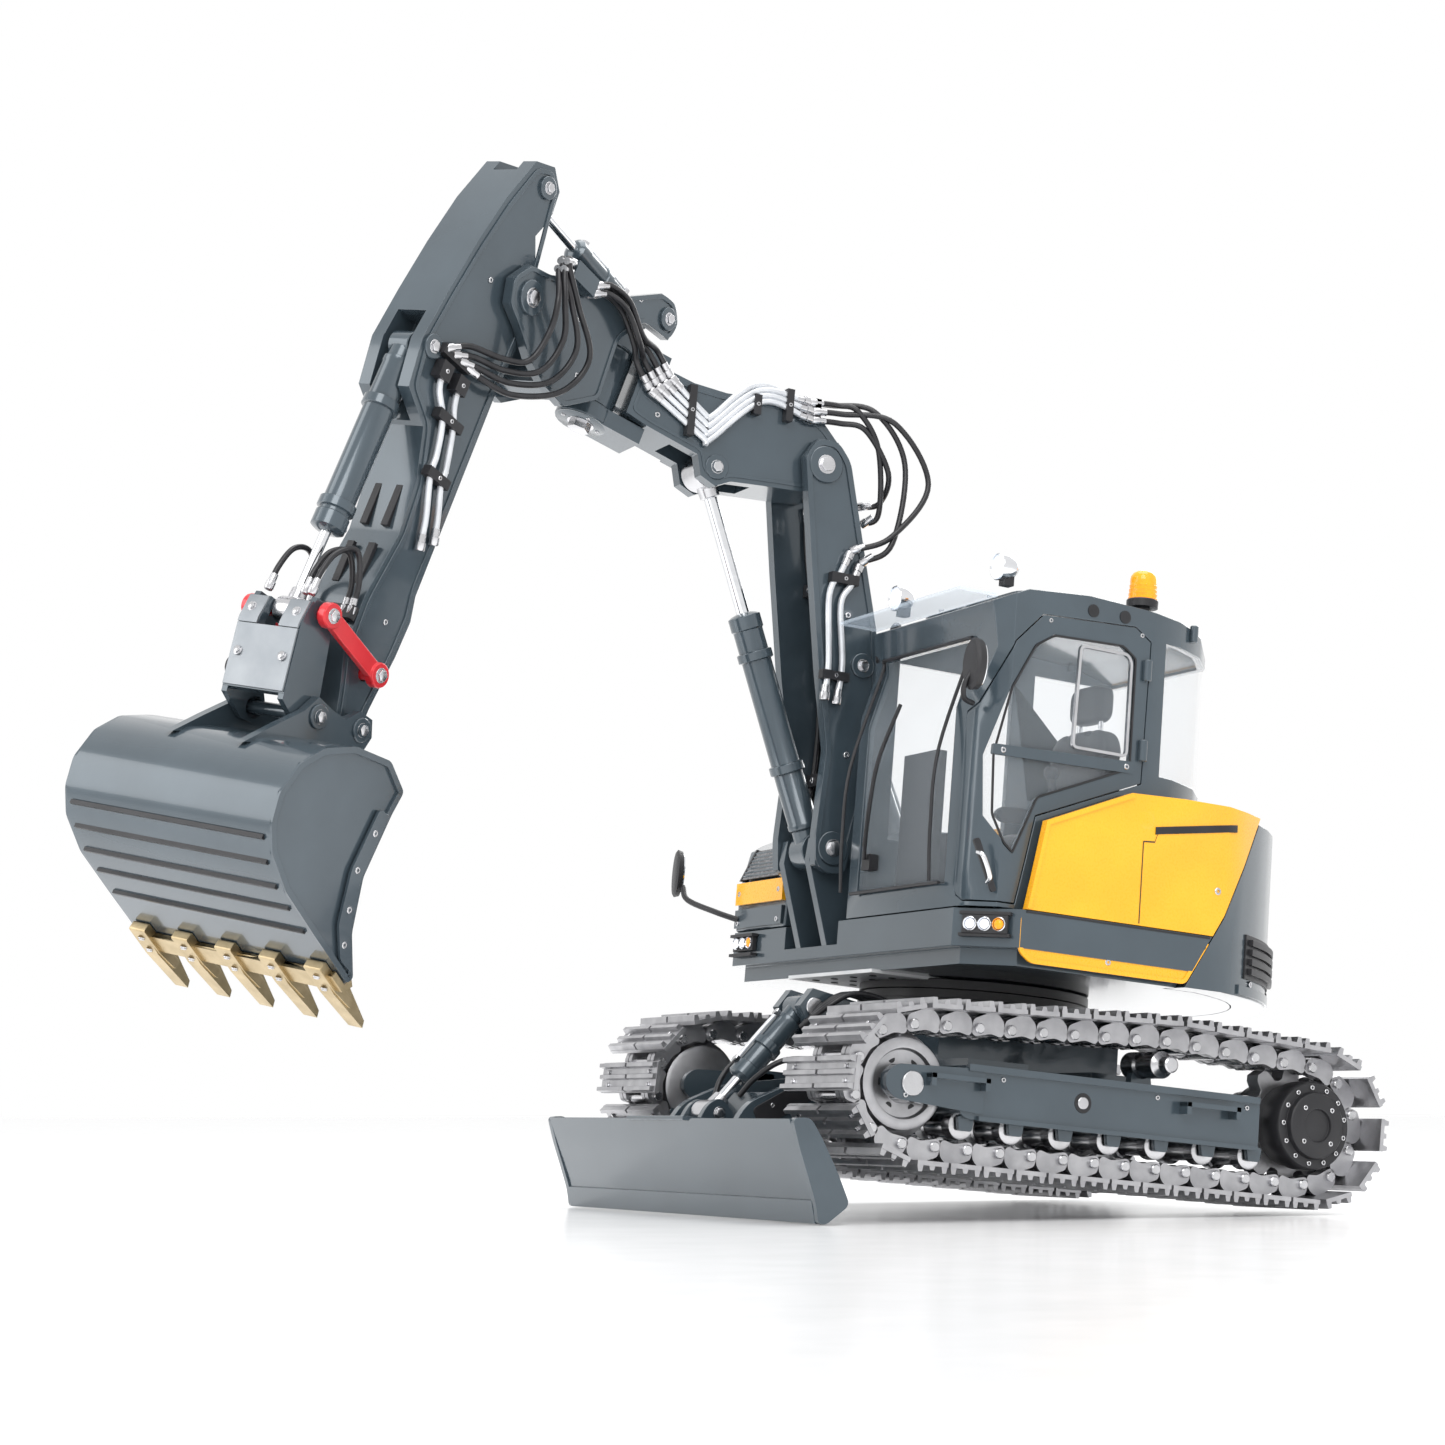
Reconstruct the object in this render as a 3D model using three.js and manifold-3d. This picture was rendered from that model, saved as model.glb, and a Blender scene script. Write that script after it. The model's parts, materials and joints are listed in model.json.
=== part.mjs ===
// Hydraulic model excavator: tracked undercarriage with a blade, slewing house and cab, and a
// two-piece boom whose head swings sideways and carries the stick and the bucket.
// Millimetres. In the machine frame x points forward, y to the left and z up from the track soles.
// The machine stands nose-up on its lowered blade, so the whole of it is pitched at the end.
import * as THREE from 'three';
import { mergeVertices } from 'three/addons/utils/BufferGeometryUtils.js';
import Module from 'manifold-3d';

const wasm = await Module();
wasm.setup();

// ---- driving dimensions ----
const GAP = 0.3; // clearance between pieces that touch
const PITCH_UP = THREE.MathUtils.degToRad(5.3); // nose-up angle while the blade holds the front up
const TRACK = { inner: 53.5, outer: 104, links: 36, soleOffset: 9.4, plateOffset: 5.4, railOffset: 3.1 };
const IDLER = { x: 89.5, z: 30.2, pinRadius: 20.8 };
const SPROCKET = { x: -84, z: 31.2, pinRadius: 21.8, teeth: 10 };
const CARRIER = { x: -18, pinZ: 56 };
const ROLLERS = { first: 65.2, spacing: 20.8, count: 7, z: 17.8, radius: 5 };
const BEAM = { inner: 62, outer: 97, low: 20, high: 39, back: -64, fork: 68, front: 100 };
const SLEW = { x: 8, radius: 45, low: 64, high: 75 };
const BLADE_PIVOT = [54, 0, 30];
const BLADE_EDGE_Z = -20.6;
const BLADE_CYLINDER = { base: [84, 0, 60], eye: [119, 0, 17] };
const HOUSE = { front: 70, halfWidth: 104, tail: 112, low: 75.3, deck: 95, hood: 144 };
const SEAM = { topX: -58, slope: 0.586 }; // counterweight joint: x at the hood top, and its lean
const BOOM_Y = -22; // the boom stands between the cab and the right hood
const FORK = { outer: 17.2, inner: 13.2 }; // lower boom side plates, from the boom's middle plane
const FOOT = [73, BOOM_Y, 123];
const KNEE = [89, BOOM_Y, 273];
const LIFT = { base: [22, BOOM_Y, 104], eye: [66, BOOM_Y, 196] };
const KNEE_EYE = [133.5, BOOM_Y, 264.5];
const HINGE = [187, BOOM_Y, 274]; // bottom of the sideways hinge pin
const HINGE_LEAN = THREE.MathUtils.degToRad(16.3);
const HEAD_TURN = THREE.MathUtils.degToRad(30.3);
// head frame: x forward, y left, z along the hinge pin, from the bottom of the pin
const STICK_PIVOT = [68, 0, 14];
const OFFSET_CYLINDER = { base: [-50, -22, 20], eye: [5, -24.5, 20] };
const STICK_CYLINDER = { base: [-6, 0, 50.5], eye: [77, 0, 55] };
const BUCKET_CYLINDER = { base: [100, 0, -26], eye: [102, 0, -133] };
const LINK_PIVOT = [70, 0, -140];
const TIP_PIVOT = [67.5, 0, -160];
const YOKE_PIVOT = [89, 0, -165];
const BUCKET_HALF = 48;
const PIN = { radius: 2.5, bore: 2.9 };

// ---- paints ----
function paint(color, roughness, metalness) {
  return new THREE.MeshStandardMaterial({ color, roughness, metalness });
}
const SLATE = paint(0x46555f, 0.35, 0.4);
const YELLOW = paint(0xffb000, 0.4, 0.1);
const STEEL = paint(0x8d9196, 0.4, 1);
const CHROME = paint(0xd8dade, 0.12, 1);
const BLACK = paint(0x16181b, 0.5, 0.1);
const RUBBER = paint(0x1b1c1f, 0.6, 0);
const BRASS = paint(0xb79b62, 0.35, 1);
const RED = paint(0xd0181f, 0.35, 0.3);
const ALLOY = paint(0xc3c7cc, 0.35, 0.9);
const LEATHER = paint(0x202226, 0.7, 0);
const AMBER = paint(0xff9a10, 0.2, 0);
const GLASS = new THREE.MeshStandardMaterial({
  color: 0xc9d6e2,
  roughness: 0.05,
  metalness: 0,
  transparent: true,
  opacity: 0.3,
});

// ---- solids ----
function solid(geometry) {
  const plain = geometry.clone();
  for (const name of Object.keys(plain.attributes)) {
    if (name !== 'position') plain.deleteAttribute(name);
  }
  const merged = mergeVertices(plain, 1e-4);
  const mesh = new wasm.Mesh({
    numProp: 3,
    vertProperties: new Float32Array(merged.attributes.position.array),
    triVerts: new Uint32Array(merged.index.array),
  });
  return new wasm.Manifold(mesh);
}

function geometryOf(body) {
  const mesh = body.getMesh();
  const geometry = new THREE.BufferGeometry();
  geometry.setAttribute('position', new THREE.BufferAttribute(mesh.vertProperties, 3));
  geometry.setIndex(new THREE.BufferAttribute(mesh.triVerts, 1));
  return geometry;
}

function join(...bodies) {
  return bodies.reduce((whole, body) => whole.add(body));
}

function cut(body, ...tools) {
  return tools.reduce((rest, tool) => rest.subtract(tool), body);
}

function box(x0, x1, y0, y1, z0, z1) {
  const geometry = new THREE.BoxGeometry(Math.abs(x1 - x0), Math.abs(y1 - y0), Math.abs(z1 - z0));
  geometry.translate((x0 + x1) / 2, (y0 + y1) / 2, (z0 + z1) / 2);
  return solid(geometry);
}

// a round bar between two points
function bar(from, to, radius, sides = 10) {
  const start = new THREE.Vector3(...from);
  const way = new THREE.Vector3(...to).sub(start);
  const geometry = new THREE.CylinderGeometry(radius, radius, way.length(), sides);
  geometry.translate(0, way.length() / 2, 0);
  const turn = new THREE.Quaternion().setFromUnitVectors(new THREE.Vector3(0, 1, 0), way.normalize());
  geometry.applyQuaternion(turn);
  geometry.translate(...from);
  return solid(geometry);
}

// a bar across the machine, parallel to y
function crossBar([x, , z], y0, y1, radius, sides = 10) {
  return bar([x, Math.min(y0, y1), z], [x, Math.max(y0, y1), z], radius, sides);
}

function outlineOf(points) {
  return new THREE.Shape(points.map(([u, v]) => new THREE.Vector2(u, v)));
}

// an outline in the x-z plane, extruded from y0 to y1
function plate(points, y0, y1) {
  const depth = Math.abs(y1 - y0);
  const geometry = new THREE.ExtrudeGeometry(outlineOf(points), { depth, bevelEnabled: false });
  geometry.rotateX(Math.PI / 2);
  geometry.translate(0, Math.max(y0, y1), 0);
  return solid(geometry);
}

// an outline in the x-y plane, extruded from z0 to z1
function slab(points, z0, z1) {
  const geometry = new THREE.ExtrudeGeometry(outlineOf(points), { depth: z1 - z0, bevelEnabled: false });
  geometry.translate(0, 0, z0);
  return solid(geometry);
}

// moves every edge of a closed outline inwards by the same distance
function inset(points, distance) {
  const flat = points.map(([u, v]) => new THREE.Vector2(u, v));
  const turn = Math.sign(THREE.ShapeUtils.area(flat));
  return flat.map((here, i) => {
    const before = flat[(i + flat.length - 1) % flat.length];
    const after = flat[(i + 1) % flat.length];
    const a = here.clone().sub(before).normalize();
    const b = after.clone().sub(here).normalize();
    const inwardA = new THREE.Vector2(-a.y, a.x).multiplyScalar(turn);
    const inwardB = new THREE.Vector2(-b.y, b.x).multiplyScalar(turn);
    const middle = inwardA.clone().add(inwardB).normalize();
    const reach = distance / Math.max(0.35, middle.dot(inwardA));
    return [here.x + middle.x * reach, here.y + middle.y * reach];
  });
}

function hose(points, radius, steps, sides = 8) {
  const path = new THREE.CatmullRomCurve3(points.map((p) => new THREE.Vector3(...p)), false, 'centripetal');
  const ring = new THREE.Shape();
  for (let i = 0; i < sides; i += 1) {
    const angle = (i / sides) * Math.PI * 2;
    const spot = [Math.cos(angle) * radius, Math.sin(angle) * radius];
    if (i === 0) ring.moveTo(...spot);
    else ring.lineTo(...spot);
  }
  const settings = { steps, extrudePath: path, bevelEnabled: false };
  return solid(new THREE.ExtrudeGeometry(ring, settings));
}

function ball(at, radius) {
  const geometry = new THREE.SphereGeometry(radius, 8, 6);
  geometry.translate(...at);
  return solid(geometry);
}

function shifted([x, y, z], dx, dy, dz) {
  return [x + dx, y + dy, z + dz];
}

// ---- the scene graph: a group stands at each pivot, and its parts are modelled in the frame ----
const excavator = new THREE.Group();
const machine = new THREE.Group();
machine.name = 'undercarriage_frame';
machine.rotation.y = -PITCH_UP;
machine.userData.origin = [0, 0, 0];
excavator.add(machine);

function pivot(parent, name, at) {
  const group = new THREE.Group();
  const origin = parent.userData.origin;
  group.name = name;
  group.position.set(at[0] - origin[0], at[1] - origin[1], at[2] - origin[2]);
  group.userData.origin = at;
  parent.add(group);
  return group;
}

function addPart(group, name, body, material) {
  const geometry = geometryOf(body);
  const origin = group.userData.origin;
  geometry.translate(-origin[0], -origin[1], -origin[2]);
  const mesh = new THREE.Mesh(geometry, material);
  mesh.name = name;
  group.add(mesh);
}

// ---- tracks ----
function pinPath() {
  const lowZ = TRACK.soleOffset;
  const path = new THREE.CurvePath();
  const rise = Math.atan2(CARRIER.pinZ - IDLER.z - IDLER.pinRadius, IDLER.x - CARRIER.x);
  const fall = Math.atan2(CARRIER.pinZ - SPROCKET.z - SPROCKET.pinRadius, CARRIER.x - SPROCKET.x);
  const front = new THREE.EllipseCurve(
    IDLER.x, IDLER.z, IDLER.pinRadius, IDLER.pinRadius, -Math.PI / 2, Math.PI / 2 - rise, false, 0);
  const back = new THREE.EllipseCurve(
    SPROCKET.x, SPROCKET.z, SPROCKET.pinRadius, SPROCKET.pinRadius,
    Math.PI / 2 + fall, (Math.PI * 3) / 2, false, 0);
  const crest = new THREE.Vector2(CARRIER.x, CARRIER.pinZ);
  path.add(new THREE.LineCurve(new THREE.Vector2(SPROCKET.x, lowZ), new THREE.Vector2(IDLER.x, lowZ)));
  path.add(front);
  path.add(new THREE.LineCurve(front.getPoint(1), crest));
  path.add(new THREE.LineCurve(crest, back.getPoint(0)));
  path.add(back);
  return path;
}

const PINS = pinPath().getSpacedPoints(TRACK.links).slice(0, TRACK.links);

// a closed outline with one corner at each pin, offset outwards from the pins
function linkOutline(offset) {
  return inset(PINS.map((pin) => [pin.x, pin.y]), -offset);
}

// a closed outline that follows the pins at a distance, with a raised sole on each link
function soleOutline(low, high) {
  return PINS.flatMap((here, i) => {
    const next = PINS[(i + 1) % PINS.length];
    const along = next.clone().sub(here);
    const out = new THREE.Vector2(along.y, -along.x).normalize();
    const at = (share, height) => {
      const point = here.clone().addScaledVector(along, share).addScaledVector(out, height);
      return [point.x, point.y];
    };
    return [at(0.03, low), at(0.12, high), at(0.88, high)];
  });
}

function trackChain(side) {
  const { inner, outer, soleOffset, plateOffset, railOffset } = TRACK;
  const sole = plate(soleOutline(plateOffset + 1.8, soleOffset), side * inner, side * outer);
  const hollow = linkOutline(plateOffset);
  const belt = cut(sole, plate(hollow, side * (inner - 1), side * (outer + 1)));
  const rails = [[65.5, 71.5], [86, 92]].map(([y0, y1]) => cut(
    plate(linkOutline(plateOffset + 0.8), side * y0, side * y1),
    plate(linkOutline(-railOffset), side * (y0 - 1), side * (y1 + 1))));
  return join(belt, ...rails);
}

function trackFrame(side) {
  const { inner, outer, low, high, back, fork, front } = BEAM;
  const beam = box(back, fork, side * inner, side * outer, low, high);
  const cheeks = [[inner, 65], [92.6, outer]].map(([y0, y1]) => box(
    fork - 1, front, side * y0, side * y1, low, high));
  const rollers = Array.from({ length: ROLLERS.count }, (_, i) => ROLLERS.first - i * ROLLERS.spacing)
    .map((x) => crossBar([x, 0, ROLLERS.z], side * 66, side * 91.5, ROLLERS.radius, 12));
  const carrier = crossBar([CARRIER.x, 0, 47.3], side * 72, side * 92, 5, 12);
  const post = box(CARRIER.x - 3, CARRIER.x + 3, side * 74, side * 80, high - 1, 47);
  const motorPlate = box(SPROCKET.x - 10, back + 1, side * 56, side * 64.5, 22, 38);
  const motor = crossBar([SPROCKET.x, 0, SPROCKET.z], side * 42, side * 64.5, 13);
  const wheelRoom = crossBar([IDLER.x, 0, IDLER.z], side * 65.1, side * 92.5, 21.5, 24);
  const sprocketRoom = join(
    crossBar([SPROCKET.x, 0, SPROCKET.z], side * 73, side * 84, 24.2, 24),
    crossBar([SPROCKET.x, 0, SPROCKET.z], side * 64.9, side * 101, 17.2, 24));
  const steps = [[60, 84], [-48, -24]].map(([x0, x1]) => box(
    x0, x1, side * (outer - 1), side * (outer + 4), 32.5, 35.5));
  const body = cut(join(beam, ...cheeks, ...rollers), wheelRoom, sprocketRoom);
  return join(body, carrier, post, motorPlate, motor, ...steps);
}

function idler(side) {
  const hub = [IDLER.x, 0, IDLER.z];
  const rim = crossBar(hub, side * 66, side * 91.5, 16.3, 22);
  const tongue = crossBar(hub, side * 74, side * 83.5, 19.5, 22);
  const axle = crossBar(hub, side * 65.4, side * 92.2, 4);
  return join(rim, tongue, axle);
}

function sprocket(side) {
  const hub = [SPROCKET.x, 0, SPROCKET.z];
  const drum = crossBar(hub, side * 65, side * 100, 16.5, 24);
  const outline = Array.from({ length: SPROCKET.teeth }, (_, i) => i * 2 * Math.PI / SPROCKET.teeth)
    .flatMap((start) => [[0.12, 17.4], [0.22, 23.2], [0.38, 23.2], [0.48, 17.4]].map(([turn, radius]) => {
      const angle = start + turn;
      return [SPROCKET.x + radius * Math.cos(angle), SPROCKET.z + radius * Math.sin(angle)];
    }));
  return join(drum, plate(outline, side * 75, side * 82));
}

function carBody() {
  const middle = box(-34, 46, -40, 40, 24, SLEW.low - GAP);
  const legs = [[20, 46], [-34, -8]].map(([x0, x1]) => box(x0, x1, -61.7, 61.7, 26, 44));
  const top = bar([SLEW.x, 0, 56], [SLEW.x, 0, SLEW.low - GAP], SLEW.radius - 1, 32);
  const tower = plate([[40, 46], [84, 50], [90, 60], [85, 67], [54, 62], [40, 60]], -11, 11);
  const towerSlot = box(76, 95, -6.5, 6.5, 40, 80);
  const lugs = [-1, 1].map((side) => plate([[45, 24], [56, 24], [60, 30], [56, 36], [45, 36]],
    side * 21, side * 24));
  const pins = [crossBar(BLADE_PIVOT, -30, 30, PIN.radius), crossBar(BLADE_CYLINDER.base, -11.5, 11.5, 2)];
  return join(cut(join(middle, ...legs, top, tower), towerSlot), ...lugs, ...pins);
}

function blade() {
  const face = plate([
    [139, 13.5], [135.5, 4], [131, -6], [127.5, -14], [126, BLADE_EDGE_Z], [123, BLADE_EDGE_Z],
    [115.5, -13], [123, -2], [129, 8], [133, 14],
  ], -TRACK.outer, TRACK.outer);
  const armOutline = [
    [120, -8], [127, 6], [118, 22], [100, 30], [62, 36], [54, 36], [49, 30], [54, 24], [92, 14],
  ];
  const arms = [-1, 1].map((side) => cut(
    plate(armOutline, side * 25, side * 29),
    crossBar(BLADE_PIVOT, side * 24, side * 30, PIN.bore)));
  const ears = [-1, 1].map((side) => plate([[112, 4], [130, 8], [124, 20], [119, 23], [113, 18]],
    side * 6, side * 9));
  const tie = box(100, 105.5, -26, 26, 14, 24.5);
  const earPin = crossBar(BLADE_CYLINDER.eye, -9.5, 9.5, 2);
  return join(face, ...arms, ...ears, tie, earPin);
}

// ---- hydraulic cylinders ----
// a barrel with an eye at its base, and a rod with an eye at its end; the rod slides in the bore
function cylinder({ base, eye }, size) {
  const across = new THREE.Vector3(...(size.across ?? [0, 1, 0]));
  const eyeBar = (at, half, radius, sides) => {
    const middle = new THREE.Vector3(...at);
    const from = middle.clone().addScaledVector(across, -half);
    return bar(from.toArray(), middle.addScaledVector(across, half).toArray(), radius, sides);
  };
  const start = new THREE.Vector3(...base);
  const end = new THREE.Vector3(...eye);
  const way = end.clone().sub(start).normalize();
  const at = (from, distance) => from.clone().addScaledVector(way, distance).toArray();
  const { barrel, rod, width, reach, eyeRadius } = size;
  const tube = cut(
    bar(at(start, eyeRadius * 0.6), at(start, reach), barrel, 14),
    bar(at(start, eyeRadius + 3), at(start, reach + 1), rod + 0.5, 10));
  const foot = eyeBar(base, width, eyeRadius, 12);
  const footBore = eyeBar(base, width + 1, size.bore ?? PIN.bore, 10);
  const shaft = bar(at(start, size.tail), at(end, -eyeRadius * 0.6), rod, 10);
  const head = eyeBar(eye, width, eyeRadius, 12);
  const eyeBore = eyeBar(eye, width + 1, size.openBore, 10);
  return { barrel: cut(join(tube, foot), footBore), rod: cut(join(shaft, head), eyeBore) };
}

// ---- house ----
function houseOutline() {
  const half = HOUSE.halfWidth;
  const corner = Math.asin(half / HOUSE.tail);
  const steps = 20;
  const tail = Array.from({ length: steps + 1 }, (_, i) => {
    const angle = Math.PI - corner + (2 * corner * i) / steps;
    return [SLEW.x + HOUSE.tail * Math.cos(angle), HOUSE.tail * Math.sin(angle)];
  });
  return [[HOUSE.front, -88], [HOUSE.front, 84], [54, half], ...tail, [54, -half]];
}

const HOUSE_OUTLINE = houseOutline();

function seamX(z) {
  return SEAM.topX + (HOUSE.hood - z) * SEAM.slope;
}

// everything in front of the leaning counterweight joint
function aheadOfSeam(margin) {
  const wide = 200;
  const low = 60;
  const high = 160;
  return plate([[seamX(low) + margin, low], [wide, low], [wide, high], [seamX(high) + margin, high]],
    -wide, wide);
}

function deck() {
  const { low, deck: top } = HOUSE;
  const core = slab(inset(HOUSE_OUTLINE, 13), low, top);
  const edge = slab(HOUSE_OUTLINE, low + 6, top).intersect(aheadOfSeam(0.6));
  const chamfer = slab(inset(HOUSE_OUTLINE, 5), low, top).intersect(aheadOfSeam(0.6));
  const slot = box(28, 90, -43.5, -0.8, 86, 100);
  const cheeks = [-1, 1].map((side) => plate(
    [[34, 84], [69, 84], [80, 118], [79, 127], [73, 131], [66, 128], [52, 104], [34, 100]],
    BOOM_Y + side * 8.5, BOOM_Y + side * 12.5));
  const lugs = [-1, 1].map((side) => plate([[14, 84], [30, 84], [28, 108], [22, 111], [16, 108]],
    BOOM_Y + side * 6.5, BOOM_Y + side * 9.5));
  const footBore = crossBar(FOOT, BOOM_Y - 20, BOOM_Y + 20, 3.4);
  const liftPin = crossBar(LIFT.base, BOOM_Y - 10, BOOM_Y + 10, 2.2);
  return join(cut(join(core, edge, chamfer), slot), cut(join(...cheeks), footBore), ...lugs, liftPin);
}

function counterweight() {
  const { low, hood } = HOUSE;
  const outer = slab(HOUSE_OUTLINE, low, hood - 2.5);
  const hollow = slab(inset(HOUSE_OUTLINE, 12.6), low - 1, 132);
  return cut(outer, hollow, aheadOfSeam(0));
}

function shell(outline, wall, low, high, roof) {
  return cut(slab(outline, low, high), slab(inset(outline, wall), low - 1, high - roof));
}

function engineCover() {
  const low = HOUSE.deck + GAP;
  const whole = shell(HOUSE_OUTLINE, 2.5, low, HOUSE.hood, 2.5).intersect(aheadOfSeam(0.6));
  const behindCab = box(-120, -12.5, -120, 120, low - 1, HOUSE.hood + 1);
  const sideOutline = [[-14, low], [52, low], [49, 111], [46, 128], [10, 143], [-14, HOUSE.hood]];
  const sidePanel = plate(sideOutline, 101.5, 104);
  return join(whole.intersect(behindCab), sidePanel);
}

function rightHood() {
  const low = HOUSE.deck + GAP;
  const outline = [[HOUSE.front, -88], [54, -103.5], [-12, -103.5], [-12, -45.5], [HOUSE.front, -45.5]];
  const side = [[HOUSE.front, low], [69, 114], [62, 130], [44, 139], [-12, HOUSE.hood], [-12, low]];
  const full = slab(outline, low, 150).intersect(plate(side, -120, 0));
  const hollow = slab(inset(outline, 2.5), low - 1, 150)
    .intersect(plate(inset(side, 2.5).map(([x, z]) => [x, z < 100 ? low - 1 : z]), -120, 0));
  return cut(full, hollow);
}

// ---- cab ----
const CAB_PLAN = [
  [70, 5], [72, 20], [72, 74], [69, 90], [61, 98.5], [0, 98.5], [-13, 95.5], [-29, 86], [-43, 70],
  [-53, 52], [-57, 34], [-57, 16], [-53, 5],
];
const CAB_SIDE = [
  [70, 95.4], [78, 122], [76, 152], [65, 190], [67, 207], [56, 212], [30, 214], [6, 213], [-24, 211],
  [-44, 206], [-54, 170], [-58, HOUSE.hood + 0.4], [-10, HOUSE.hood + 0.4], [-10, 95.4],
];

function cabBlock(distance) {
  return slab(inset(CAB_PLAN, distance), 90, 220).intersect(plate(inset(CAB_SIDE, distance), -5, 110));
}

function cabSkin(outside, inside) {
  return cut(cabBlock(outside), cabBlock(inside));
}

const DOOR_OUTLINE = [
  [69, 97.5], [77, 124], [72, 160], [60, 192], [49, 203.5], [9, 205.5], [2, 201], [3, 148], [47.5, 130],
  [51, 112], [54, 97.5],
];
const DOOR_WINDOW = [
  [56, 115], [60, 118], [66, 128], [67, 150], [61, 175], [52, 192], [44, 197], [14, 198], [8, 194],
  [8, 152.5], [47, 136.5],
];
const OPENINGS = {
  windshield: (gap) => box(50, 95, 14 + gap, 78 - gap, 104 + gap, 195 - gap),
  right: (gap) => box(4 + gap, 56 - gap, 0, 12, 128 + gap, 197 - gap),
  rear: (gap) => box(-70, -6 - gap, -5, 105, 152 + gap, 202 - gap),
  door: (gap) => plate(inset(DOOR_OUTLINE, gap), 84, 110),
  doorGlass: (gap) => plate(inset(DOOR_WINDOW, gap), 84, 110),
};

function cabFrame() {
  const { windshield, right, rear, door } = OPENINGS;
  return cut(cabSkin(0, 3), windshield(0), right(0), rear(0), door(-0.4));
}

function cabGlass(opening) {
  return cabSkin(0.7, 2.2).intersect(opening(GAP));
}

function seat() {
  const pad = box(-2, 34, 34, 76, 118, 129);
  const base = box(4, 28, 40, 70, 102, 119);
  const back = plate([[-6, 126], [4, 126], [2, 172], [-5, 172]], 36, 74);
  const posts = [48, 62].map((y) => box(-4, -1, y - 1, y + 1, 170, 178));
  const head = box(-6, 1, 44, 66, 176, 190);
  return join(pad, base, back, ...posts, head);
}

function console() {
  const floor = box(-4, 60, 11, 92, 98.7, 101.7);
  const sides = [[13, 27], [80, 91]].map(([y0, y1]) => box(0, 36, y0, y1, 101, 132));
  const levers = [20, 85].map((y) => bar([30, y, 131], [33, y, 148], 1.6, 8));
  const knobs = [20, 85].map((y) => ball([33, y, 149], 3));
  const screen = box(50, 54, 13, 38, 101, 160);
  const pedals = box(44, 54, 50, 66, 101, 108);
  return join(floor, ...sides, ...levers, ...knobs, screen, pedals);
}

function beacon() {
  const profile = [[0, 0], [3, 0], [3, 3], [6, 3.4], [6, 6], [5.6, 6.4], [5.4, 15], [4, 18], [0, 18.6]];
  const geometry = new THREE.LatheGeometry(profile.map(([r, z]) => new THREE.Vector2(r, z)), 20);
  geometry.rotateX(Math.PI / 2);
  geometry.translate(-3, 84, 213.8);
  return solid(geometry);
}

function cabLamp(y) {
  const post = box(60, 64, y - 2, y + 2, 213, 217);
  const bowl = bar([58.5, y, 220], [66, y, 219.5], 4.7, 18);
  return join(post, bowl);
}

function lampCluster(at, yaw) {
  const geometry = new THREE.BoxGeometry(2.4, 17, 6.4);
  geometry.rotateZ(yaw);
  geometry.translate(...at);
  return solid(geometry);
}

function sideMirror() {
  const arm = hose([[70.5, -84, 100], [78, -92, 103], [84, -106, 108], [84, -112, 114]], 1.2, 10, 6);
  const glass = bar([82, -118, 120], [85, -119, 120], 10, 20);
  return join(arm, glass);
}

// ---- boom ----
function lowerBoom() {
  const outline = [
    [67, 114], [61, 145], [57, 178], [61, 211], [70, 245], [78, 276], [84, 283], [93, 283], [98, 275],
    [92, 234], [85, 191], [79, 161], [81, 128], [80, 116], [74, 113],
  ];
  const sides = [-1, 1].map((side) => plate(
    outline, BOOM_Y + side * FORK.inner, BOOM_Y + side * FORK.outer));
  const webOutline = [
    [58.6, 165], [63, 165], [62.6, 178], [66, 208], [74, 240], [70, 241], [62, 211], [58, 180],
  ];
  const web = plate(webOutline, BOOM_Y - FORK.inner - 1, BOOM_Y + FORK.inner + 1);
  const liftLugs = [-1, 1].map((side) => plate([[60, 186], [70, 186], [72, 206], [62, 208], [57, 196]],
    BOOM_Y + side * 6.5, BOOM_Y + side * 9.5));
  const liftPin = crossBar(LIFT.eye, BOOM_Y - 9.8, BOOM_Y + 9.8, 2.2);
  const webSlot = box(50, 80, BOOM_Y - 6.4, BOOM_Y + 6.4, 160, 209);
  const footPin = crossBar(FOOT, BOOM_Y - 18.5, BOOM_Y + 18.5, 3);
  const kneePin = crossBar(KNEE, BOOM_Y - 18.5, BOOM_Y + 18.5, 3.2);
  return join(...sides, cut(web, webSlot), ...liftLugs, liftPin, footPin, kneePin);
}

// a point given along, across and up the hinge pin, with the head straight ahead
function hingeSpot(forward, left, up) {
  const cos = Math.cos(HINGE_LEAN);
  const sin = Math.sin(HINGE_LEAN);
  const [x, y, z] = HINGE;
  return [x + forward * cos - up * sin, y + left, z + forward * sin + up * cos];
}

// the same for a point of the head, turned as it stands
function headSpot(forward, left, up) {
  const cos = Math.cos(HEAD_TURN);
  const sin = Math.sin(HEAD_TURN);
  return hingeSpot(forward * cos - left * sin, forward * sin + left * cos, up);
}

function hingePlate(points) {
  return points.map(([forward, up]) => {
    const [x, , z] = hingeSpot(forward, 0, up);
    return [x, z];
  });
}

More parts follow.
